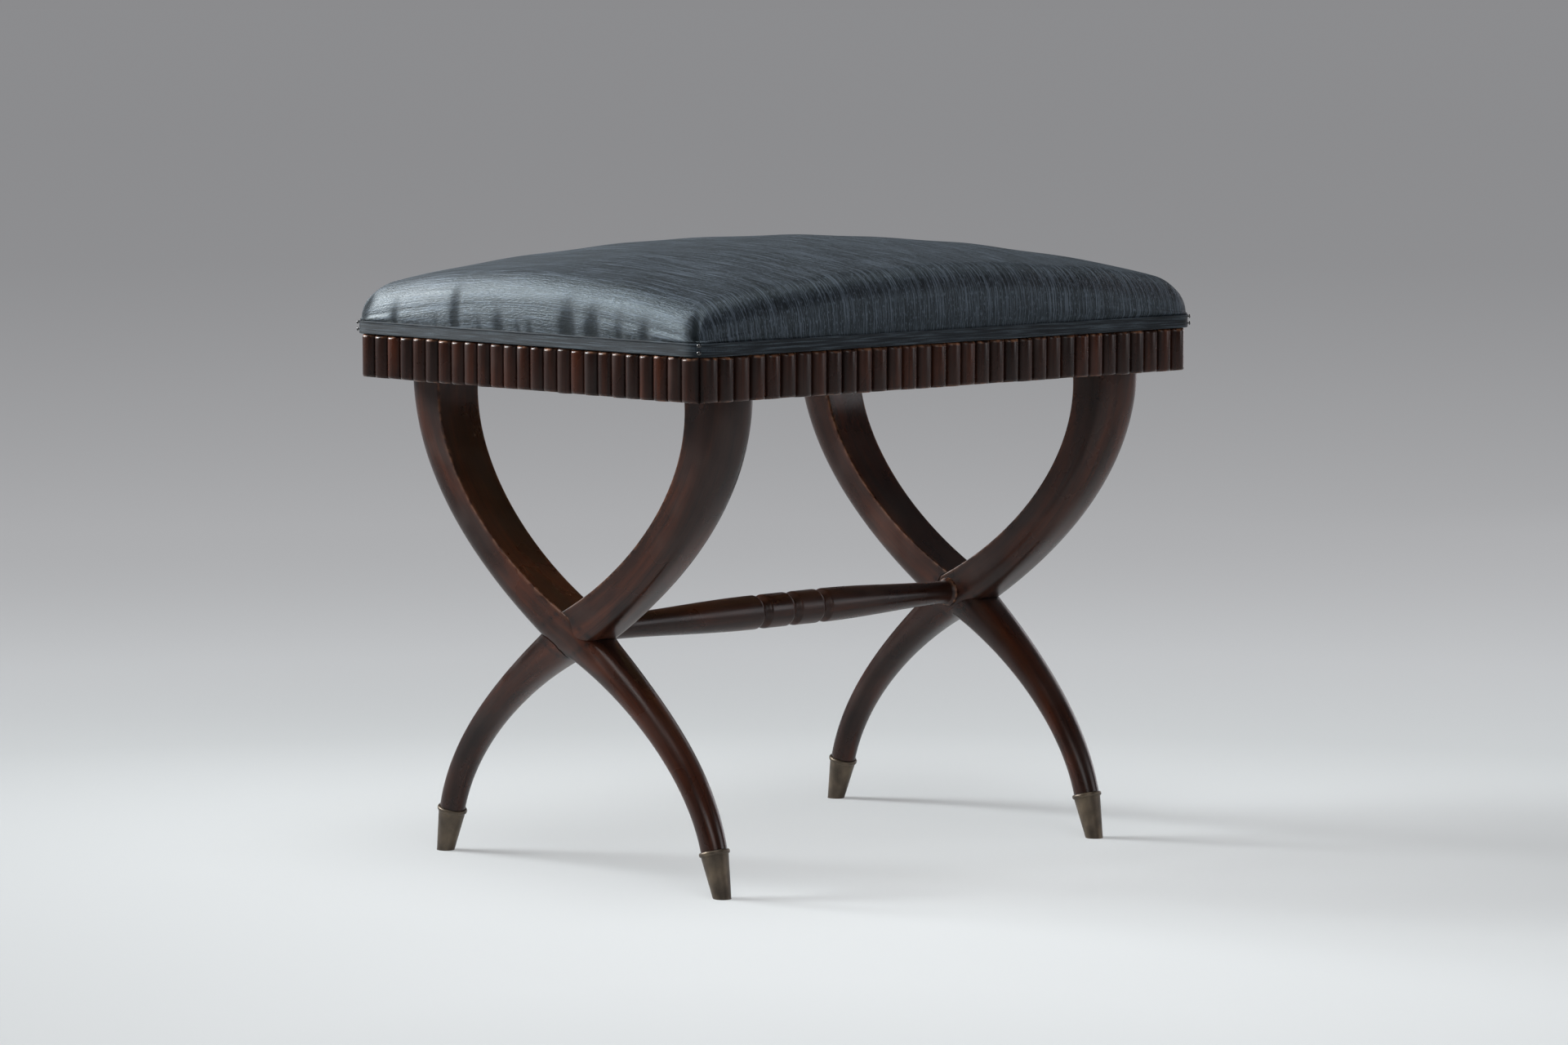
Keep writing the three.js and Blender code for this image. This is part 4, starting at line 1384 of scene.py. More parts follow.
    @staticmethod
    def faces(levels: int, columns: int) -> list[list[int]]:
        """Faces of a moulding: its skin, and a strip of quads over its foot and its top.

        Args:
            levels: How many rings it has.
            columns: How many points each ring has in front.

        Returns:
            Vertex numbers of each face.
        """
        skin = ring_faces(levels, 2 * columns)[:-2]
        strips = []
        for level in (0, levels - 1):
            start = level * 2 * columns
            for step in range(columns - 1):
                far = start + 2 * columns - 1 - step
                strips.append([start + step, start + step + 1, far - 1, far])
        return skin + strips

    def end_wear(self, above_foot: np.ndarray, height: float) -> np.ndarray:
        """How rubbed the crests are: most at their tops, less at their feet, not between.

        Args:
            above_foot: Each vertex's height over the foot.
            height: The moulding's height.

        Returns:
            The rubbing of each vertex.
        """
        top_start, foot_end = (share * self.end_round for share in self.wear_shares)
        near_top = 1 - smooth_step(top_start, self.end_round, height - above_foot)
        near_foot = 1 - smooth_step(0, foot_end, above_foot)
        return near_top + self.foot_wear * near_foot

    def build(self) -> None:
        """Builds the mouldings of the four sides."""
        quarter = math.pi / 2
        sides = (
            ("back_reeding", self.long_reeds, 0),
            ("left_reeding", self.short_reeds, quarter),
            ("front_reeding", self.long_reeds, 2 * quarter),
            ("right_reeding", self.short_reeds, -quarter),
        )
        for number, (name, count, turn) in enumerate(sides):
            self.build_side(name, count, turn, number)


@dataclass
class SeatRails:
    """Beech rails, corner blocks and screws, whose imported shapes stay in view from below."""

    finishes: tuple[tuple[str, Finish], ...] = (
        ("front_rail", LONG_BEECH),
        ("back_rail", LONG_BEECH),
        ("left_rail", END_BEECH),
        ("right_rail", END_BEECH),
        ("corner_block", LONG_BEECH),
        ("block_screw", SCREW_STEEL),
    )

    def build(self, nodes: dict[str, Piece]) -> None:
        """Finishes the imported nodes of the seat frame.

        Args:
            nodes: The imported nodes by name.
        """
        for name, node in nodes.items():
            for start, finish in self.finishes:
                if name.startswith(start):
                    finish.put_on(node)
                    log.info("%s: packed shape kept, finished in %s", name, finish.title)


@dataclass
class Webbing:
    """Interlaced straps under the stuffing, and the hessian over them."""

    long_count: int = 3
    cross_count: int = 5
    width: float = 50 * MM
    thickness: float = 1.6 * MM
    shoulder: float = 2 * MM
    ramp: float = 10 * MM
    ring_pitch: float = 3 * MM
    edge_round: float = 0.6 * MM
    across_steps: int = 14
    hessian_pitch: float = 4 * MM

    def course(
        self, centres: np.ndarray, low: float, high: float, first_over: bool
    ) -> tuple[np.ndarray, np.ndarray]:
        """Level of a strap along its length.

        Args:
            centres: Where the crossing straps lie.
            low: Where the strap starts.
            high: Where it ends.
            first_over: Whether it passes over the first strap that it crosses.

        Returns:
            Places along the strap and how far it is above or below its middle level.
        """
        shift = (self.thickness + FIT_GAP) / 2
        flat = self.width / 2 + self.shoulder
        turns = [shift if (number % 2 == 0) == first_over else -shift for number in range(len(centres))]
        starts, ends = centres - flat, centres + flat
        ramps = (starts[0] - self.ramp, ends[-1] + self.ramp)
        knots = np.array([low, ramps[0], *np.stack([starts, ends], axis=1).ravel(), ramps[1], high])
        levels = np.array([0, 0, *np.repeat(turns, 2), 0, 0])
        places = np.linspace(low, high, int((high - low) / self.ring_pitch))
        index = np.clip(np.searchsorted(knots, places, side="right") - 1, 0, len(knots) - 2)
        ease = smooth_step(knots[index], knots[index + 1], places)
        return places, levels[index] * (1 - ease) + levels[index + 1] * ease

    def strap(self, name: str, centres: np.ndarray, first_over: bool, along_x: bool) -> None:
        """Builds one strap.

        Args:
            name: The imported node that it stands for.
            centres: Where the straps that it crosses lie.
            first_over: Whether it passes over the first of them.
            along_x: Whether it runs along X.
        """
        first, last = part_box(name)
        run, side = (0, 1) if along_x else (1, 0)
        order = [run, side, 2]
        middle = middle_of(name)[side]
        places, levels = self.course(centres, first[run], last[run], first_over)
        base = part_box("front_rail")[1].z + self.thickness / 2
        half, thick = self.width / 2, self.thickness / 2
        across = np.linspace(self.edge_round - half, half - self.edge_round, self.across_steps)
        over, under = [(x, thick) for x in across], [(x, -thick) for x in across[::-1]]
        section = np.array([(-half, 0.0), *over, (half, 0.0), *under])
        wide, high = section.T
        rings = [
            np.stack([0 * wide + place, middle + wide, base + level + high], axis=1)
            for place, level in zip(places, levels)
        ]
        body = lofted(f"{name}_dressed", np.array(rings)[:, :, order])
        note_vectors(body, "cloth", corners_of(body)[:, order] - np.array([0, middle, 0]))
        dress(body, WEBBING, [name], crease=60)

    def build(self) -> None:
        """Builds the straps both ways, then the hessian."""
        long_names = [f"long_web_{number + 1}" for number in range(self.long_count)]
        cross_names = [f"cross_web_{number + 1}" for number in range(self.cross_count)]
        cross_places = np.array([middle_of(name)[0] for name in cross_names])
        long_places = np.sort([middle_of(name)[1] for name in long_names])
        for number, name in enumerate(long_names):
            self.strap(name, cross_places, number % 2 == 0, True)
        for number, name in enumerate(cross_names):
            self.strap(name, long_places, number % 2 == 1, False)
        self.hessian([f"{name}_dressed" for name in long_names + cross_names])

    def hessian(self, straps: list[str]) -> None:
        """Builds the hessian as a thin sheet pulled flat over the straps.

        Args:
            straps: The straps that it rests on; not used.
        """
        low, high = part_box("hessian")
        width, length = high.x - low.x, high.y - low.y
        across = np.linspace(low.y, high.y, int(length / self.hessian_pitch))
        rings = []
        for place in np.linspace(low.x, high.x, int(width / self.hessian_pitch)):
            under = np.stack([0 * across + place, across, 0 * across + low.z], axis=1)
            over = np.stack([0 * across + place, across, 0 * across + high.z], axis=1)
            rings.append(np.concatenate([under, over[::-1]]))
        body = lofted("hessian_dressed", np.array(rings))
        dress(body, HESSIAN, ["hessian"])


# Seat


@dataclass
class SeatForm:
    """Outline and crown that the cover, the stuffing and the band share.

    Points round the seat are kept in one order with the same counts at every inset, so a point
    of one ring lies beside the same point of every other.
    """

    crown_fall_long: float = 22 * MM
    crown_fall_wide: float = 19 * MM
    shoulder: float = 23.4 * MM
    corner_rise: float = 0.4 * MM
    band_thickness: float = 2 * MM
    corner_power: float = 4
    corner_steps: int = 40
    long_steps: int = 300
    short_steps: int = 220

    def __post_init__(self) -> None:
        """Reads the seat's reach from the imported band."""
        low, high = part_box("trim_band")
        self.out_x = high.x - self.band_thickness - FIT_GAP
        self.out_y = high.y - self.band_thickness - FIT_GAP
        self.band_bottom, self.band_top = low.z, high.z
        self.top = high.z + self.corner_rise + self.shoulder + self.crown_fall_long + self.crown_fall_wide
        self.cover_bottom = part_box("seat_cover")[0].z

    def plan(self, inset: float) -> np.ndarray:
        """Outline of the seat, seen from above.

        Args:
            inset: How far it lies inside the cover's outer face; less than 0 is outside.

        Returns:
            Rows of X and Y, once round.
        """
        reach = self.shoulder - inset
        half_x, half_y = self.out_x - inset, self.out_y - inset
        turn = np.linspace(0, math.pi / 2, self.corner_steps + 1)
        power = self.corner_power
        radius = (np.cos(turn) ** power + np.sin(turn) ** power) ** (-1 / power)
        corner = np.stack([
            half_x - reach + reach * radius * np.cos(turn),
            half_y - reach + reach * radius * np.sin(turn),
        ], axis=1)
        points = []
        for quarter, signs in enumerate(((1, 1), (-1, 1), (-1, -1), (1, -1))):
            part = corner * np.array(signs)
            if quarter % 2:
                part, steps, mirror = part[::-1], self.short_steps, (1, -1)
            else:
                steps, mirror = self.long_steps, (-1, 1)
            share = np.linspace(0, 1, steps + 1)[1:-1, None]
            points += [part, part[-1] * (1 - share) + part[-1] * np.array(mirror) * share]
        return np.concatenate(points)

    def normals(self) -> np.ndarray:
        """Directions that point straight out of the outline at each of its points.

        Returns:
            Rows of X and Y.
        """
        plan = self.plan(0)
        way = np.roll(plan, -1, axis=0) - np.roll(plan, 1, axis=0)
        way /= np.linalg.norm(way, axis=1)[:, None]
        return np.stack([way[:, 1], -way[:, 0]], axis=1)

    def on_long(self) -> np.ndarray:
        """Whether each point of the outline faces front or back, as along a long side."""
        out = self.normals()
        return np.abs(out[:, 1]) > np.abs(out[:, 0])

    def from_corner(self) -> np.ndarray:
        """Measures round the outline from the nearest corner.

        Returns:
            Each point's distance, more than 0 along a long side and less along a short one.
        """
        plan = self.plan(0)
        travelled = travelled_along(plan)
        whole = travelled[-1] + np.linalg.norm(plan[0] - plan[-1])
        on_long = self.on_long()
        changes = np.flatnonzero(on_long != np.roll(on_long, 1))
        gaps = np.abs(travelled[:, None] - travelled[changes][None, :])
        nearest = np.minimum(gaps, whole - gaps).min(axis=1)
        return np.where(on_long, nearest, -nearest)

    def crown(self, x: np.ndarray, y: np.ndarray, inset: float = 0.0) -> np.ndarray:
        """Height of the crowned top.

        Args:
            x: Places along X.
            y: Places along Y.
            inset: How far under the cover's outer face.

        Returns:
            The height at each place.
        """
        radius = self.shoulder - inset
        near_x = np.maximum(radius - (self.out_x - inset - np.abs(x)), 0) / radius
        near_y = np.maximum(radius - (self.out_y - inset - np.abs(y)), 0) / radius
        power = self.corner_power
        near = np.minimum((near_x**power + near_y**power) ** (1 / power), 1)
        fall = self.crown_fall_long * (x / self.out_x) ** 2 + self.crown_fall_wide * (y / self.out_y) ** 2
        return self.top - inset - fall - radius * (1 - np.sqrt(1 - near**2))


@dataclass(frozen=True)
class Pucker:
    """A small gather of the cloth over the band, on a short side."""

    place: float
    width: float
    rise: float
    reach: float


@dataclass
class Seat:
    """Cover of horsehair cloth over curled hair, with its band and the two pins at each corner."""

    form: SeatForm
    cover_thickness: float = 1.2 * MM
    cover_fill: float = 0.9
    side_swell: float = 0.9 * MM
    wall_rings: int = 14
    shoulder_rings: int = 26
    top_rings: int = 30
    middle_share: float = 0.02
    steepest_step: float = 0.2 * MM
    puckers: tuple[Pucker, ...] = tuple(Pucker(*(size * MM for size in sizes)) for sizes in (
        (-141, 6, 1.0, 12),
        (-113, 5.5, 0.8, 13),
        (-82, 8, 1.5, 16),
        (-53, 9, 1.6, 18),
        (-10, 5, 0.7, 11),
        (4, 4, 0.7, 10),
        (27, 6.5, 1.1, 13),
        (50, 5, 0.6, 10),
        (79, 6, 1.3, 22),
        (102, 5, 0.5, 9),
        (153, 5.5, 0.9, 12),
    ))
    right_puckers: Pair = (-0.93, 9 * MM)
    pucker_most: float = 1.45 * MM
    pucker_depth: float = 0.5
    deepest: float = 0.9 * MM
    pleat_depth: float = 3.4 * MM
    pleat_shade: float = 4.5
    pleat_roll: float = 0.5 * MM
    pleat_width: float = 1.8 * MM
    pleat_offset: float = 2.5 * MM
    pleat_height: float = 24 * MM
    pleat_lean: float = 0.8
    pleat_end: float = 0.55
    roll_place: float = 2.2
    roll_width: float = 1.5
    lump_height: float = 0.5 * MM
    lump_start: float = 30 * MM
    lump_waves: Triple = (31.0, 43.0, 0.6)
    cross_waves: Pair = (67.0, 51.0)
    lump_turns: Pair = (1.3, 0.4)
    tuck: float = 0.5 * MM
    inner_wall: Triple = (0.0, 0.5, 1.0)
    inner_crown: tuple[float, ...] = (0.99, 0.96, 0.92, 0.7, 0.3)
    stuffing_edge: tuple[float, ...] = (0.995, 0.98, 0.95, 0.92)
    stuffing_crown: Pair = (0.88, 0.03)
    stuffing_rings: int = 16
    band_round: float = 0.35 * MM
    band_rows: int = 7
    ridge_width: float = 1.1 * MM
    ridge_stand: float = 0.5 * MM
    ridge_start: float = 0.2
    face_weave: float = 0.5
    pin_radius: float = 1.7 * MM
    pin_head: float = 1.4 * MM
    pin_shank_radius: float = 0.6 * MM
    pin_shank_length: float = 8 * MM
    pin_point: float = 1.5 * MM
    pin_tip_share: float = 0.2
    dome_top_share: float = 0.05
    pin_sides: int = 24
    dome_steps: int = 8

    def rings(self, inset: float, wall: Sequence[float], crown: Sequence[float]) -> np.ndarray:
        """Rings of one face of the cover, from its lower edge to the middle of the crown.

        Args:
            inset: How far the face lies under the cover's outer one.
            wall: Shares of the way up the side.
            crown: Shares of the way out from the middle, from the edge inwards.

        Returns:
            The rings as (ring, point, 3).
        """
        form, plan = self.form, self.form.plan(inset)
        x, y = plan.T
        edge = form.crown(x, y, inset)
        rows = [np.stack([x, y, np.full_like(x, form.cover_bottom)], axis=1)]
        for share in wall:
            swell = self.side_swell * math.sin(math.pi * share)
            wide, deep = x * (1 + swell / form.out_x), y * (1 + swell / form.out_y)
            rows.append(np.stack([wide, deep, form.band_top * (1 - share) + edge * share], axis=1))
        for share in crown:
            rows.append(np.stack([x * share, y * share, form.crown(x * share, y * share, inset)], axis=1))
        return np.array(rows)

    def crown_shares(self) -> np.ndarray:
        """Shares of the outline's reach, close together on the shoulder and wider over the top.

        Returns:
            The shares, from the edge inwards.
        """
        turn = np.linspace(0, math.pi / 2, self.shoulder_rings + 1)[1:]
        shoulder = 1 - self.form.shoulder * (1 - np.cos(turn)) / self.form.out_y
        top = np.linspace(shoulder[-1], self.middle_share, self.top_rings + 1)[1:]
        return np.concatenate([shoulder, top])

    @staticmethod
    def skin_normals(rings: np.ndarray) -> np.ndarray:
        """Outward directions of a face given as rings that go up and in.

        Args:
            rings: The face.

        Returns:
            A unit vector for each point.
        """
        round_way = np.roll(rings, -1, axis=1) - np.roll(rings, 1, axis=1)
        up_way = np.gradient(rings, axis=0)
        out = np.cross(round_way, up_way)
        return out / np.maximum(np.linalg.norm(out, axis=2), 1e-12)[:, :, None]

    def shaped(self, rings: np.ndarray, normals: np.ndarray) -> tuple[np.ndarray, np.ndarray]:
        """Works gathers, corner pleats and slight lumps into the cover's outer face.

        Args:
            rings: The smooth outer face.
            normals: Its outward directions.

        Returns:
            The worked face, and the painted shade of the gathers and the pleats at each point, from 0 to
            1.
        """
        form = self.form
        above = np.maximum(rings[:, :, 2] - form.band_top, 0)
        x, y = rings[:, :, 0], rings[:, :, 1]
        scale, shift = self.right_puckers
        place = np.where(form.normals()[:, 0] < 0, y, y * scale + shift)
        on_short = ~form.on_long()
        moved, fold_shade = np.zeros(rings.shape[:2]), np.zeros(rings.shape[:2])
        # Besides moving the cloth, each gather and the corner pleat add painted shade.
        for pucker in self.puckers:
            off = (place - pucker.place) / pucker.width
            gather = np.exp(-(off**2) - (above / pucker.reach) ** 2) * on_short
            moved -= self.pucker_depth * pucker.rise * gather
            fold_shade += pucker.rise / self.pucker_most * gather
        lean = self.pleat_offset * (1 + self.pleat_lean * above / self.pleat_height)
        fold = (form.from_corner() + lean) / self.pleat_width
        reach = 1 - smooth_step(self.pleat_end * self.pleat_height, self.pleat_height, above)
        moved -= self.pleat_depth * np.exp(-(fold**2)) * reach
        beside = np.where(fold < 0, fold / self.pleat_shade, fold)
        fold_shade += np.exp(-(beside**2)) * reach
        moved += self.pleat_roll * np.exp(-(((fold - self.roll_place) / self.roll_width) ** 2)) * reach
        (wave_x, wave_y, crossed), (turn_x, turn_y) = self.lump_waves, self.lump_turns
        lumps = np.sin(wave_x * x + turn_x) * np.cos(wave_y * y + turn_y)
        lumps += crossed * np.sin(self.cross_waves[0] * x - self.cross_waves[1] * y)
        moved += self.lump_height * lumps * smooth_step(0, self.lump_start, above)
        moved = np.where(moved < 0, self.deepest * np.tanh(moved / self.deepest), moved)
        moved[0] = 0
        behind_band = np.clip(above / self.tuck, 0, 1)
        return rings + normals * (moved * behind_band)[:, :, None], np.clip(fold_shade, 0, 1)

    def courses(self, rings: np.ndarray) -> np.ndarray:
        """Where each point lies in the cloth, across its hairs and along them.

        Hairs run along Y over the top, straight down the long sides and level along the short
        ones, so a step down a long side goes along the hairs, and down a short side across them.

        Args:
            rings: The outer face from its lower edge to the middle.

        Returns:
            The places as (ring, point, 3), with nothing in the third value.
        """
        inward = rings[::-1]
        steps = np.diff(inward, axis=0)
        x, y = inward[:-1, :, 0], inward[:-1, :, 1]
        fall_x = np.abs(steps[:, :, 0] * self.slope(x, y, along_x=True))
        fall_y = np.abs(steps[:, :, 1] * self.slope(x, y, along_x=False))
        on_long = self.form.on_long().astype(float)
        total = fall_x + fall_y
        share = np.where(total > 1e-6, fall_y / np.maximum(total, 1e-9), on_long[None, :])
        upright = np.hypot(steps[:, :, 0], steps[:, :, 1]) < self.steepest_step
        share = np.where(upright, on_long[None, :], share)
        drop = steps[:, :, 2]
        across = np.hypot(steps[:, :, 0], drop * (1 - share)) * np.sign(inward[1:, :, 0])
        along = np.hypot(steps[:, :, 1], drop * share) * np.sign(inward[1:, :, 1])
        start = inward[:1, :, :2]
        across = np.concatenate([start[:, :, 0], start[:, :, 0] + np.cumsum(across, axis=0)])
        along = np.concatenate([start[:, :, 1], start[:, :, 1] + np.cumsum(along, axis=0)])
        return np.stack([across, along, 0 * along], axis=2)[::-1]

    def slope(self, x: np.ndarray, y: np.ndarray, along_x: bool) -> np.ndarray:
        """How steeply the crown falls along one direction.

        Args:
            x: Places along X.
            y: Places along Y.
            along_x: Whether the fall along X is wanted, not along Y.

        Returns:
            The slope at each place.
        """
        step, inwards = 0.05 * MM, 1 - 1e-4
        step_x, step_y = step * along_x, step * (not along_x)
        low = self.form.crown(x * inwards - step_x, y * inwards - step_y)
        high = self.form.crown(x * inwards + step_x, y * inwards + step_y)
        return (high - low) / (2 * step)

    def hair_spread(self, normals: np.ndarray) -> np.ndarray:
        """Directions along the surface and square to the hairs, which stretch the gloss.

        Args:
            normals: The cover's outward directions.

        Returns:
            A unit vector for each point.
        """
        down = np.cross(normals, np.broadcast_to([1.0, 0, 0], normals.shape))
        level = np.array([0, 1.0, 0]) - normals * normals[:, :, 1:2]
        hairs = np.where(self.form.on_long()[None, :, None], down, level)
        hairs /= np.maximum(np.linalg.norm(hairs, axis=2), 1e-9)[:, :, None]
        return np.cross(normals, hairs)

    def cover(self) -> None:
        """Builds the cover with both its faces."""
        outer = self.rings(0, np.linspace(0, 1, self.wall_rings), self.crown_shares())
        normals = self.skin_normals(outer)
        course, spread = self.courses(outer), self.hair_spread(normals)
        outer, fold_shade = self.shaped(outer, normals)
        inner = self.rings(self.cover_thickness, self.inner_wall, self.inner_crown)
        body = lofted("horsehair_cover", np.concatenate([outer[::-1], inner]))
        inside = np.zeros((len(inner), inner.shape[1], 3))
        note_vectors(body, "cloth", np.concatenate([course[::-1], inside]).reshape(-1, 3))
        note_vectors(body, "spread", np.concatenate([spread[::-1], inside + [1, 0, 0]]).reshape(-1, 3))
        # The fold attribute holds the painted shade of the gathers and pleats.
        note_values(body, "fold", np.concatenate([fold_shade[::-1].ravel(), inside[:, :, 0].ravel()]))
        dress(body, SEATING, ["seat_cover"], crease=70)

    def stuffing(self) -> None:
        """Builds the curled hair under the cover, cut flat where it lies on the hessian."""
        inset = self.cover_thickness + FIT_GAP
        shares = [*self.stuffing_edge, *np.linspace(*self.stuffing_crown, self.stuffing_rings)]
        body = lofted("hair_stuffing", self.rings(inset, self.inner_wall, shares))
        trim_below(body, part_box("stuffing")[0].z)
        dress(body, STUFFING, ["stuffing"], crease=60)

    def band(self) -> None:
        """Builds the woven band, with a raised edge along its top."""
        form, soft = self.form, self.band_round
        bottom, top, ridge = form.band_bottom, form.band_top, self.ridge_width / 2
        flat = form.band_thickness - self.ridge_stand
        section = [(0, bottom), (flat - soft, bottom), (flat, bottom + soft)]
        face = np.linspace(bottom + 1 * MM, top - 2 * ridge - soft, self.band_rows)
        section += [(flat, height) for height in face]
        section += [
            (flat + self.ridge_stand * math.sin(angle), top - ridge - ridge * math.cos(angle))
            for angle in np.linspace(self.ridge_start, math.pi - self.ridge_start, self.band_rows)
        ]
        section += [(flat - soft, top), (0, top)]
        loops = np.array([
            np.column_stack([form.plan(-(FIT_GAP + out)), np.full(len(form.plan(0)), height)])
            for out, height in section
        ])
        count, points = loops.shape[:2]
        faces = ring_faces(count, points)[:-2]
        first, last = np.arange(points), (count - 1) * points + np.arange(points)
        faces += np.stack([first, last, np.roll(last, -1), np.roll(first, -1)], axis=1).tolist()
        body = closed_object("horsehair_band", loops.reshape(-1, 3), faces)
        along = np.tile(travelled_along(form.plan(0)), count)
        up = loops[:, :, 2].ravel() + self.face_weave * np.repeat([out for out, _ in section], points)
        note_vectors(body, "cloth", np.stack([along, up, 0 * up], axis=1))
        note_vectors(body, "spread", np.tile([0.0, 0.0, 1.0], (len(up), 1)))
        dress(body, BANDING, ["trim_band"], crease=50)

    def pins(self) -> None:
        """Builds the two pins of each corner, whose heads stand on the band."""
        form = self.form
        reach = FIT_GAP + form.band_thickness
        inset = (form.shoulder + reach) * (1 - 0.5 ** (1 / form.corner_power))
        shank, foot = self.pin_shank_radius, -self.pin_shank_length
        profile = [(self.pin_tip_share * shank, foot), (shank, foot + self.pin_point), (shank, FIT_GAP)]
        profile += [
            (self.pin_radius * math.cos(angle), FIT_GAP + self.pin_head * math.sin(angle))
            for angle in np.linspace(0, math.pi / 2, self.dome_steps)[:-1]
        ]
        profile += [(self.dome_top_share * self.pin_radius, FIT_GAP + self.pin_head)]
        for corner in Corner:
            along, across = corner.value
            for number in (1, 2):
                name = f"corner_pin_{corner.label}_{number}"
                x, y = along * (form.out_x + reach - inset), across * (form.out_y + reach - inset)
                point, outward = Vector((x, y, middle_of(name)[2])), Vector((along, across, 0))
                body = turned(f"{name}_dressed", np.array(profile), self.pin_sides, point, outward)
                dress(body, BEAD, [name], crease=50)

    def build(self) -> None:
        """Builds the cover, the stuffing, the band and the pins."""
        self.cover()
        self.stuffing()
        self.band()
        self.pins()


# Studio


@dataclass(frozen=True)
class Softbox:
    """A soft square lamp that faces the stool."""

    name: str
    place: Triple
    width: float
    power: float
    colour: Triple = (1.0, 1.0, 1.0)
    opening: float = 180

    def hang(self, target: Vector) -> None:
        """Hangs the lamp where it faces the target.

        Args:
            target: The point that it faces.
        """
        lamp = bpy.data.lights.new(self.name, "AREA")
        lamp.shape = "SQUARE"
        lamp.size = self.width
        lamp.energy = self.power
        lamp.color = self.colour
        lamp.spread = math.radians(self.opening)
        holder = bpy.data.objects.new(self.name, lamp)
        holder.location = self.place
        holder.rotation_euler = (target - Vector(self.place)).to_track_quat("-Z", "Y").to_euler()
        bpy.context.scene.collection.objects.link(holder)
        log.info("%s: %.0f watts, %.1f metres wide", self.name, self.power, self.width)


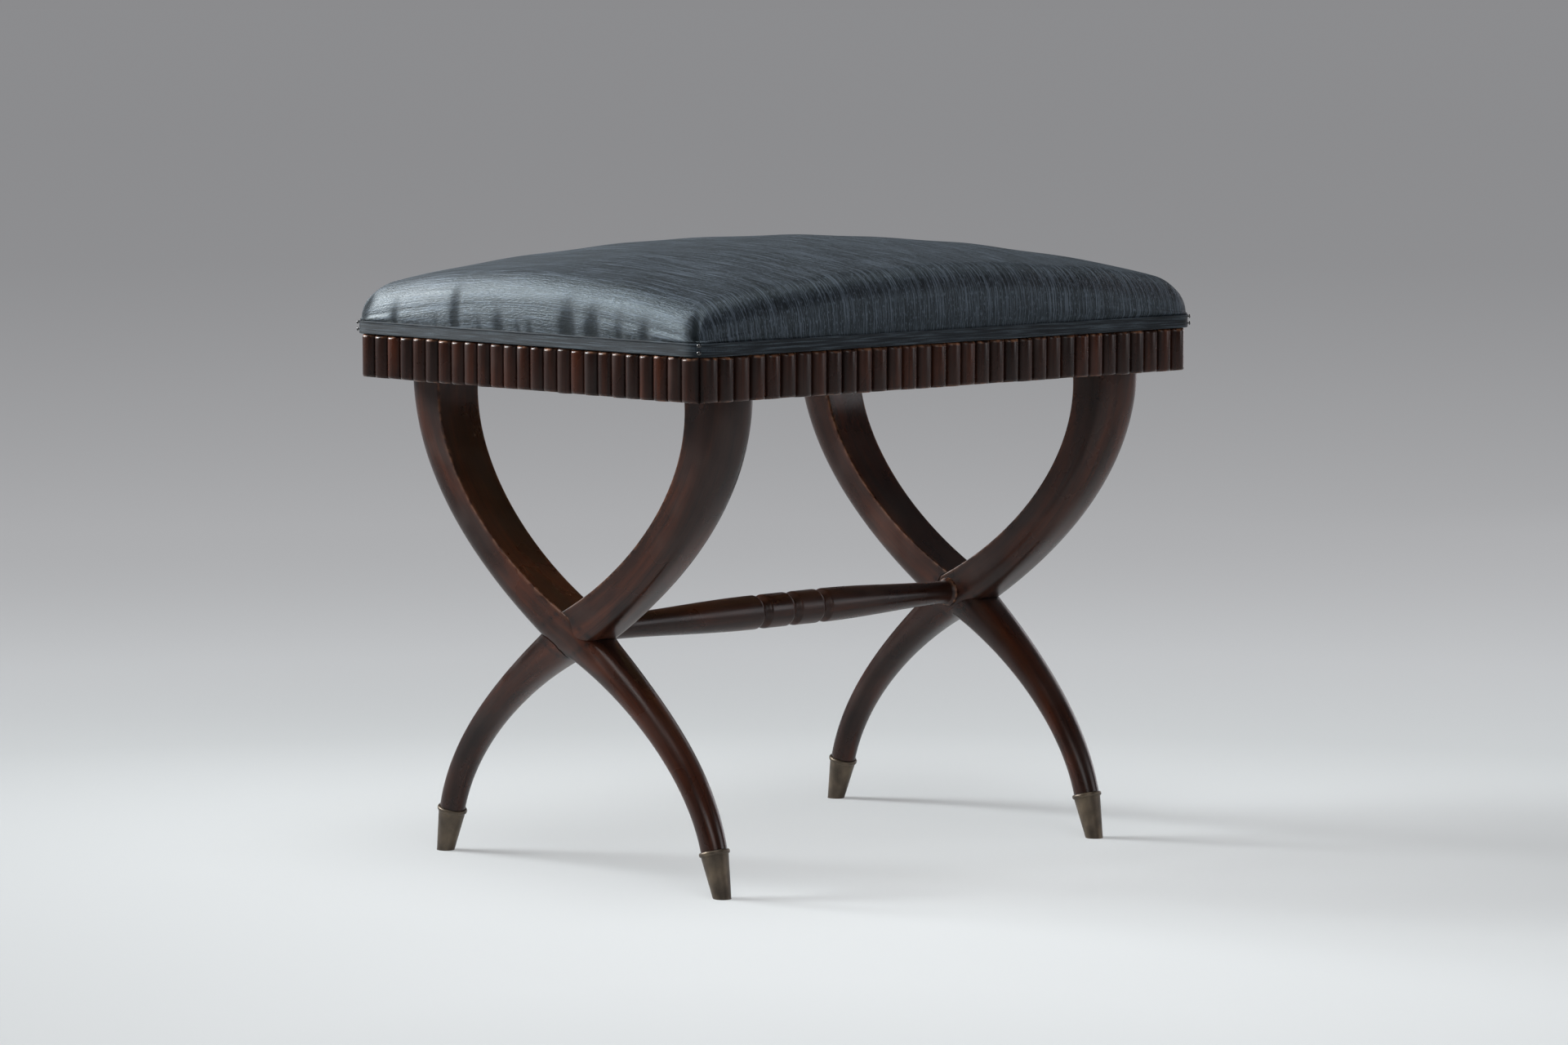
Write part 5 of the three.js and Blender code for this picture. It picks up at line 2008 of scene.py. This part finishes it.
@dataclass
class Studio:
    """Camera, plain lamps and the pale floor that fades to grey in the distance."""

    camera_place: Triple = (-3.0027, -3.1874, 0.6914)
    camera_turn: float = math.radians(-43.362)
    camera_tilt: float = math.radians(90 - 5.605)
    focal_length: float = 125.6
    floor_start: float = 0.5
    floor_reach: float = 160.0
    floor_rings: int = 24
    floor_sides: int = 96
    bright_spot: Pair = (-0.69, -0.73)
    fade_distance: float = 3.0
    floor_seen: Colour = srgb(155, 158, 159)
    floor_grey: Colour = srgb(226, 226, 226)
    world_grey: Colour = srgb(139, 139, 141)
    world_light: float = 0.25
    target: Triple = (0.0, 0.0, 0.3)
    fade: tuple[tuple[float, Colour], ...] = (
        (0.118, srgb(165, 166, 167)),
        (0.25, srgb(150, 151, 152)),
        (0.36, srgb(133, 134, 135)),
        (0.432, srgb(147, 147, 149)),
        (0.55, srgb(153, 153, 155)),
        (0.665, srgb(146, 146, 148)),
        (0.776, srgb(136, 136, 138)),
        (0.884, srgb(134, 134, 136)),
    )
    softboxes: tuple[Softbox, ...] = (
        Softbox("key_softbox", (-0.86, 2.0, 1.15), 0.5, 3.0, (0.98, 0.99, 1.0), 45),
        Softbox("left_panel", (-2.9, 3.6, 3.1), 2.2, 19, (0.96, 0.99, 1.0), 32),
        Softbox("front_panel", (-2.4, -4.4, 2.4), 2.0, 5, (0.96, 0.98, 1.0), 60),
        Softbox("right_panel", (3.4, -3.6, 1.4), 2.0, 4, (0.96, 0.96, 1.0), 60),
        Softbox("back_panel", (3.2, 0.4, 0.7), 1.8, 4, (1.0, 0.94, 0.98), 75),
        Softbox("high_panel", (-0.4, -0.3, 3.4), 1.9, 66),
    )

    def camera(self) -> None:
        """Stands the camera where the photograph was taken from."""
        lens = bpy.data.cameras.new("stool_camera")
        lens.lens = self.focal_length
        lens.clip_end = 2 * self.floor_reach
        stand = bpy.data.objects.new("stool_camera", lens)
        stand.location = self.camera_place
        stand.rotation_euler = (self.camera_tilt, 0, self.camera_turn)
        bpy.context.scene.collection.objects.link(stand)
        bpy.context.scene.camera = stand

    def floor(self) -> None:
        """Lays a round floor, pale near the stool and grey far away."""
        turn = np.linspace(0, math.tau, self.floor_sides, endpoint=False)
        reaches = np.geomspace(self.floor_start, self.floor_reach, self.floor_rings)
        points = [[reach * math.cos(a), reach * math.sin(a), 0] for reach in reaches for a in turn]
        floor = closed_object("floor", np.array(points), ring_faces(len(reaches), len(turn))[:-1])
        if floor.data.polygons[0].normal.z < 0:
            floor.data.flip_normals()
        floor.data.materials.append(self.floor_finish())

    def floor_finish(self) -> bpy.types.Material:
        """The floor's finish: its own fading colour to the camera and in gloss, plain grey to light.

        From below it is clear, so that the stool's underside can be looked at.

        Returns:
            The material.
        """
        board = Board("pale_floor")
        level, spot = board.stretch(board.place(), (1, 1, 0)), (*self.bright_spot, 0)
        distance = board.add("VectorMath", {0: level, 1: spot}, out="Value", operation="DISTANCE")
        share = board.maths("DIVIDE", distance, board.maths("ADD", distance, self.fade_distance))
        glow = board.add("Emission", {"Color": board.ramp(share, self.fade)})
        seen = board.add("AddShader", {0: glow, 1: board.add("BsdfDiffuse", {"Color": self.floor_seen})})
        plain = board.add("BsdfDiffuse", {"Color": self.floor_grey})
        kinds = ("Camera", "Glossy", "Transmission")
        rays = [board.add("LightPath", out=f"Is {kind} Ray") for kind in kinds]
        looked_at = reduce(lambda first, second: board.maths("MAXIMUM", first, second), rays)
        above = board.add("MixShader", {0: looked_at, 1: plain, 2: seen})
        from_below, clear = board.add("NewGeometry", out="Backfacing"), board.add("BsdfTransparent")
        board.feed(board.outlet, board.add("MixShader", {0: from_below, 1: above, 2: clear}))
        board.nodes.remove(board.shader)
        return board.material

    def air(self) -> None:
        """Fills the air with dim even light, and shows the far grey where the floor ends."""
        world = bpy.data.worlds.new("studio_air")
        bpy.context.scene.world = world
        world.use_nodes = True
        nodes, links = world.node_tree.nodes, world.node_tree.links
        back = nodes["Background"]
        back.inputs["Color"].default_value = self.world_grey
        path = nodes.new("ShaderNodeLightPath")
        strength = nodes.new("ShaderNodeMapRange")
        strength.inputs["To Min"].default_value = self.world_light
        strength.inputs["To Max"].default_value = 1.0
        links.new(path.outputs["Is Camera Ray"], strength.inputs["Value"])
        links.new(strength.outputs[0], back.inputs["Strength"])

    def build(self) -> None:
        """Sets up the camera, the floor, the air and the lamps."""
        view = bpy.context.scene.view_settings
        view.view_transform = "Standard"
        self.camera()
        self.floor()
        self.air()
        for softbox in self.softboxes:
            softbox.hang(Vector(self.target))


def main() -> None:
    """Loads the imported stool, builds and dresses its sub-assemblies, and sets up the studio."""
    logging.basicConfig(level=logging.INFO, format="%(message)s")
    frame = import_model()
    XFrames().build()
    Ferrules().build()
    Stretcher().build()
    ReededApron().build()
    SeatRails().build(frame["nodes"])
    Webbing().build()
    Seat(SeatForm()).build()
    Studio().build()


if __name__ == "__main__":
    main()
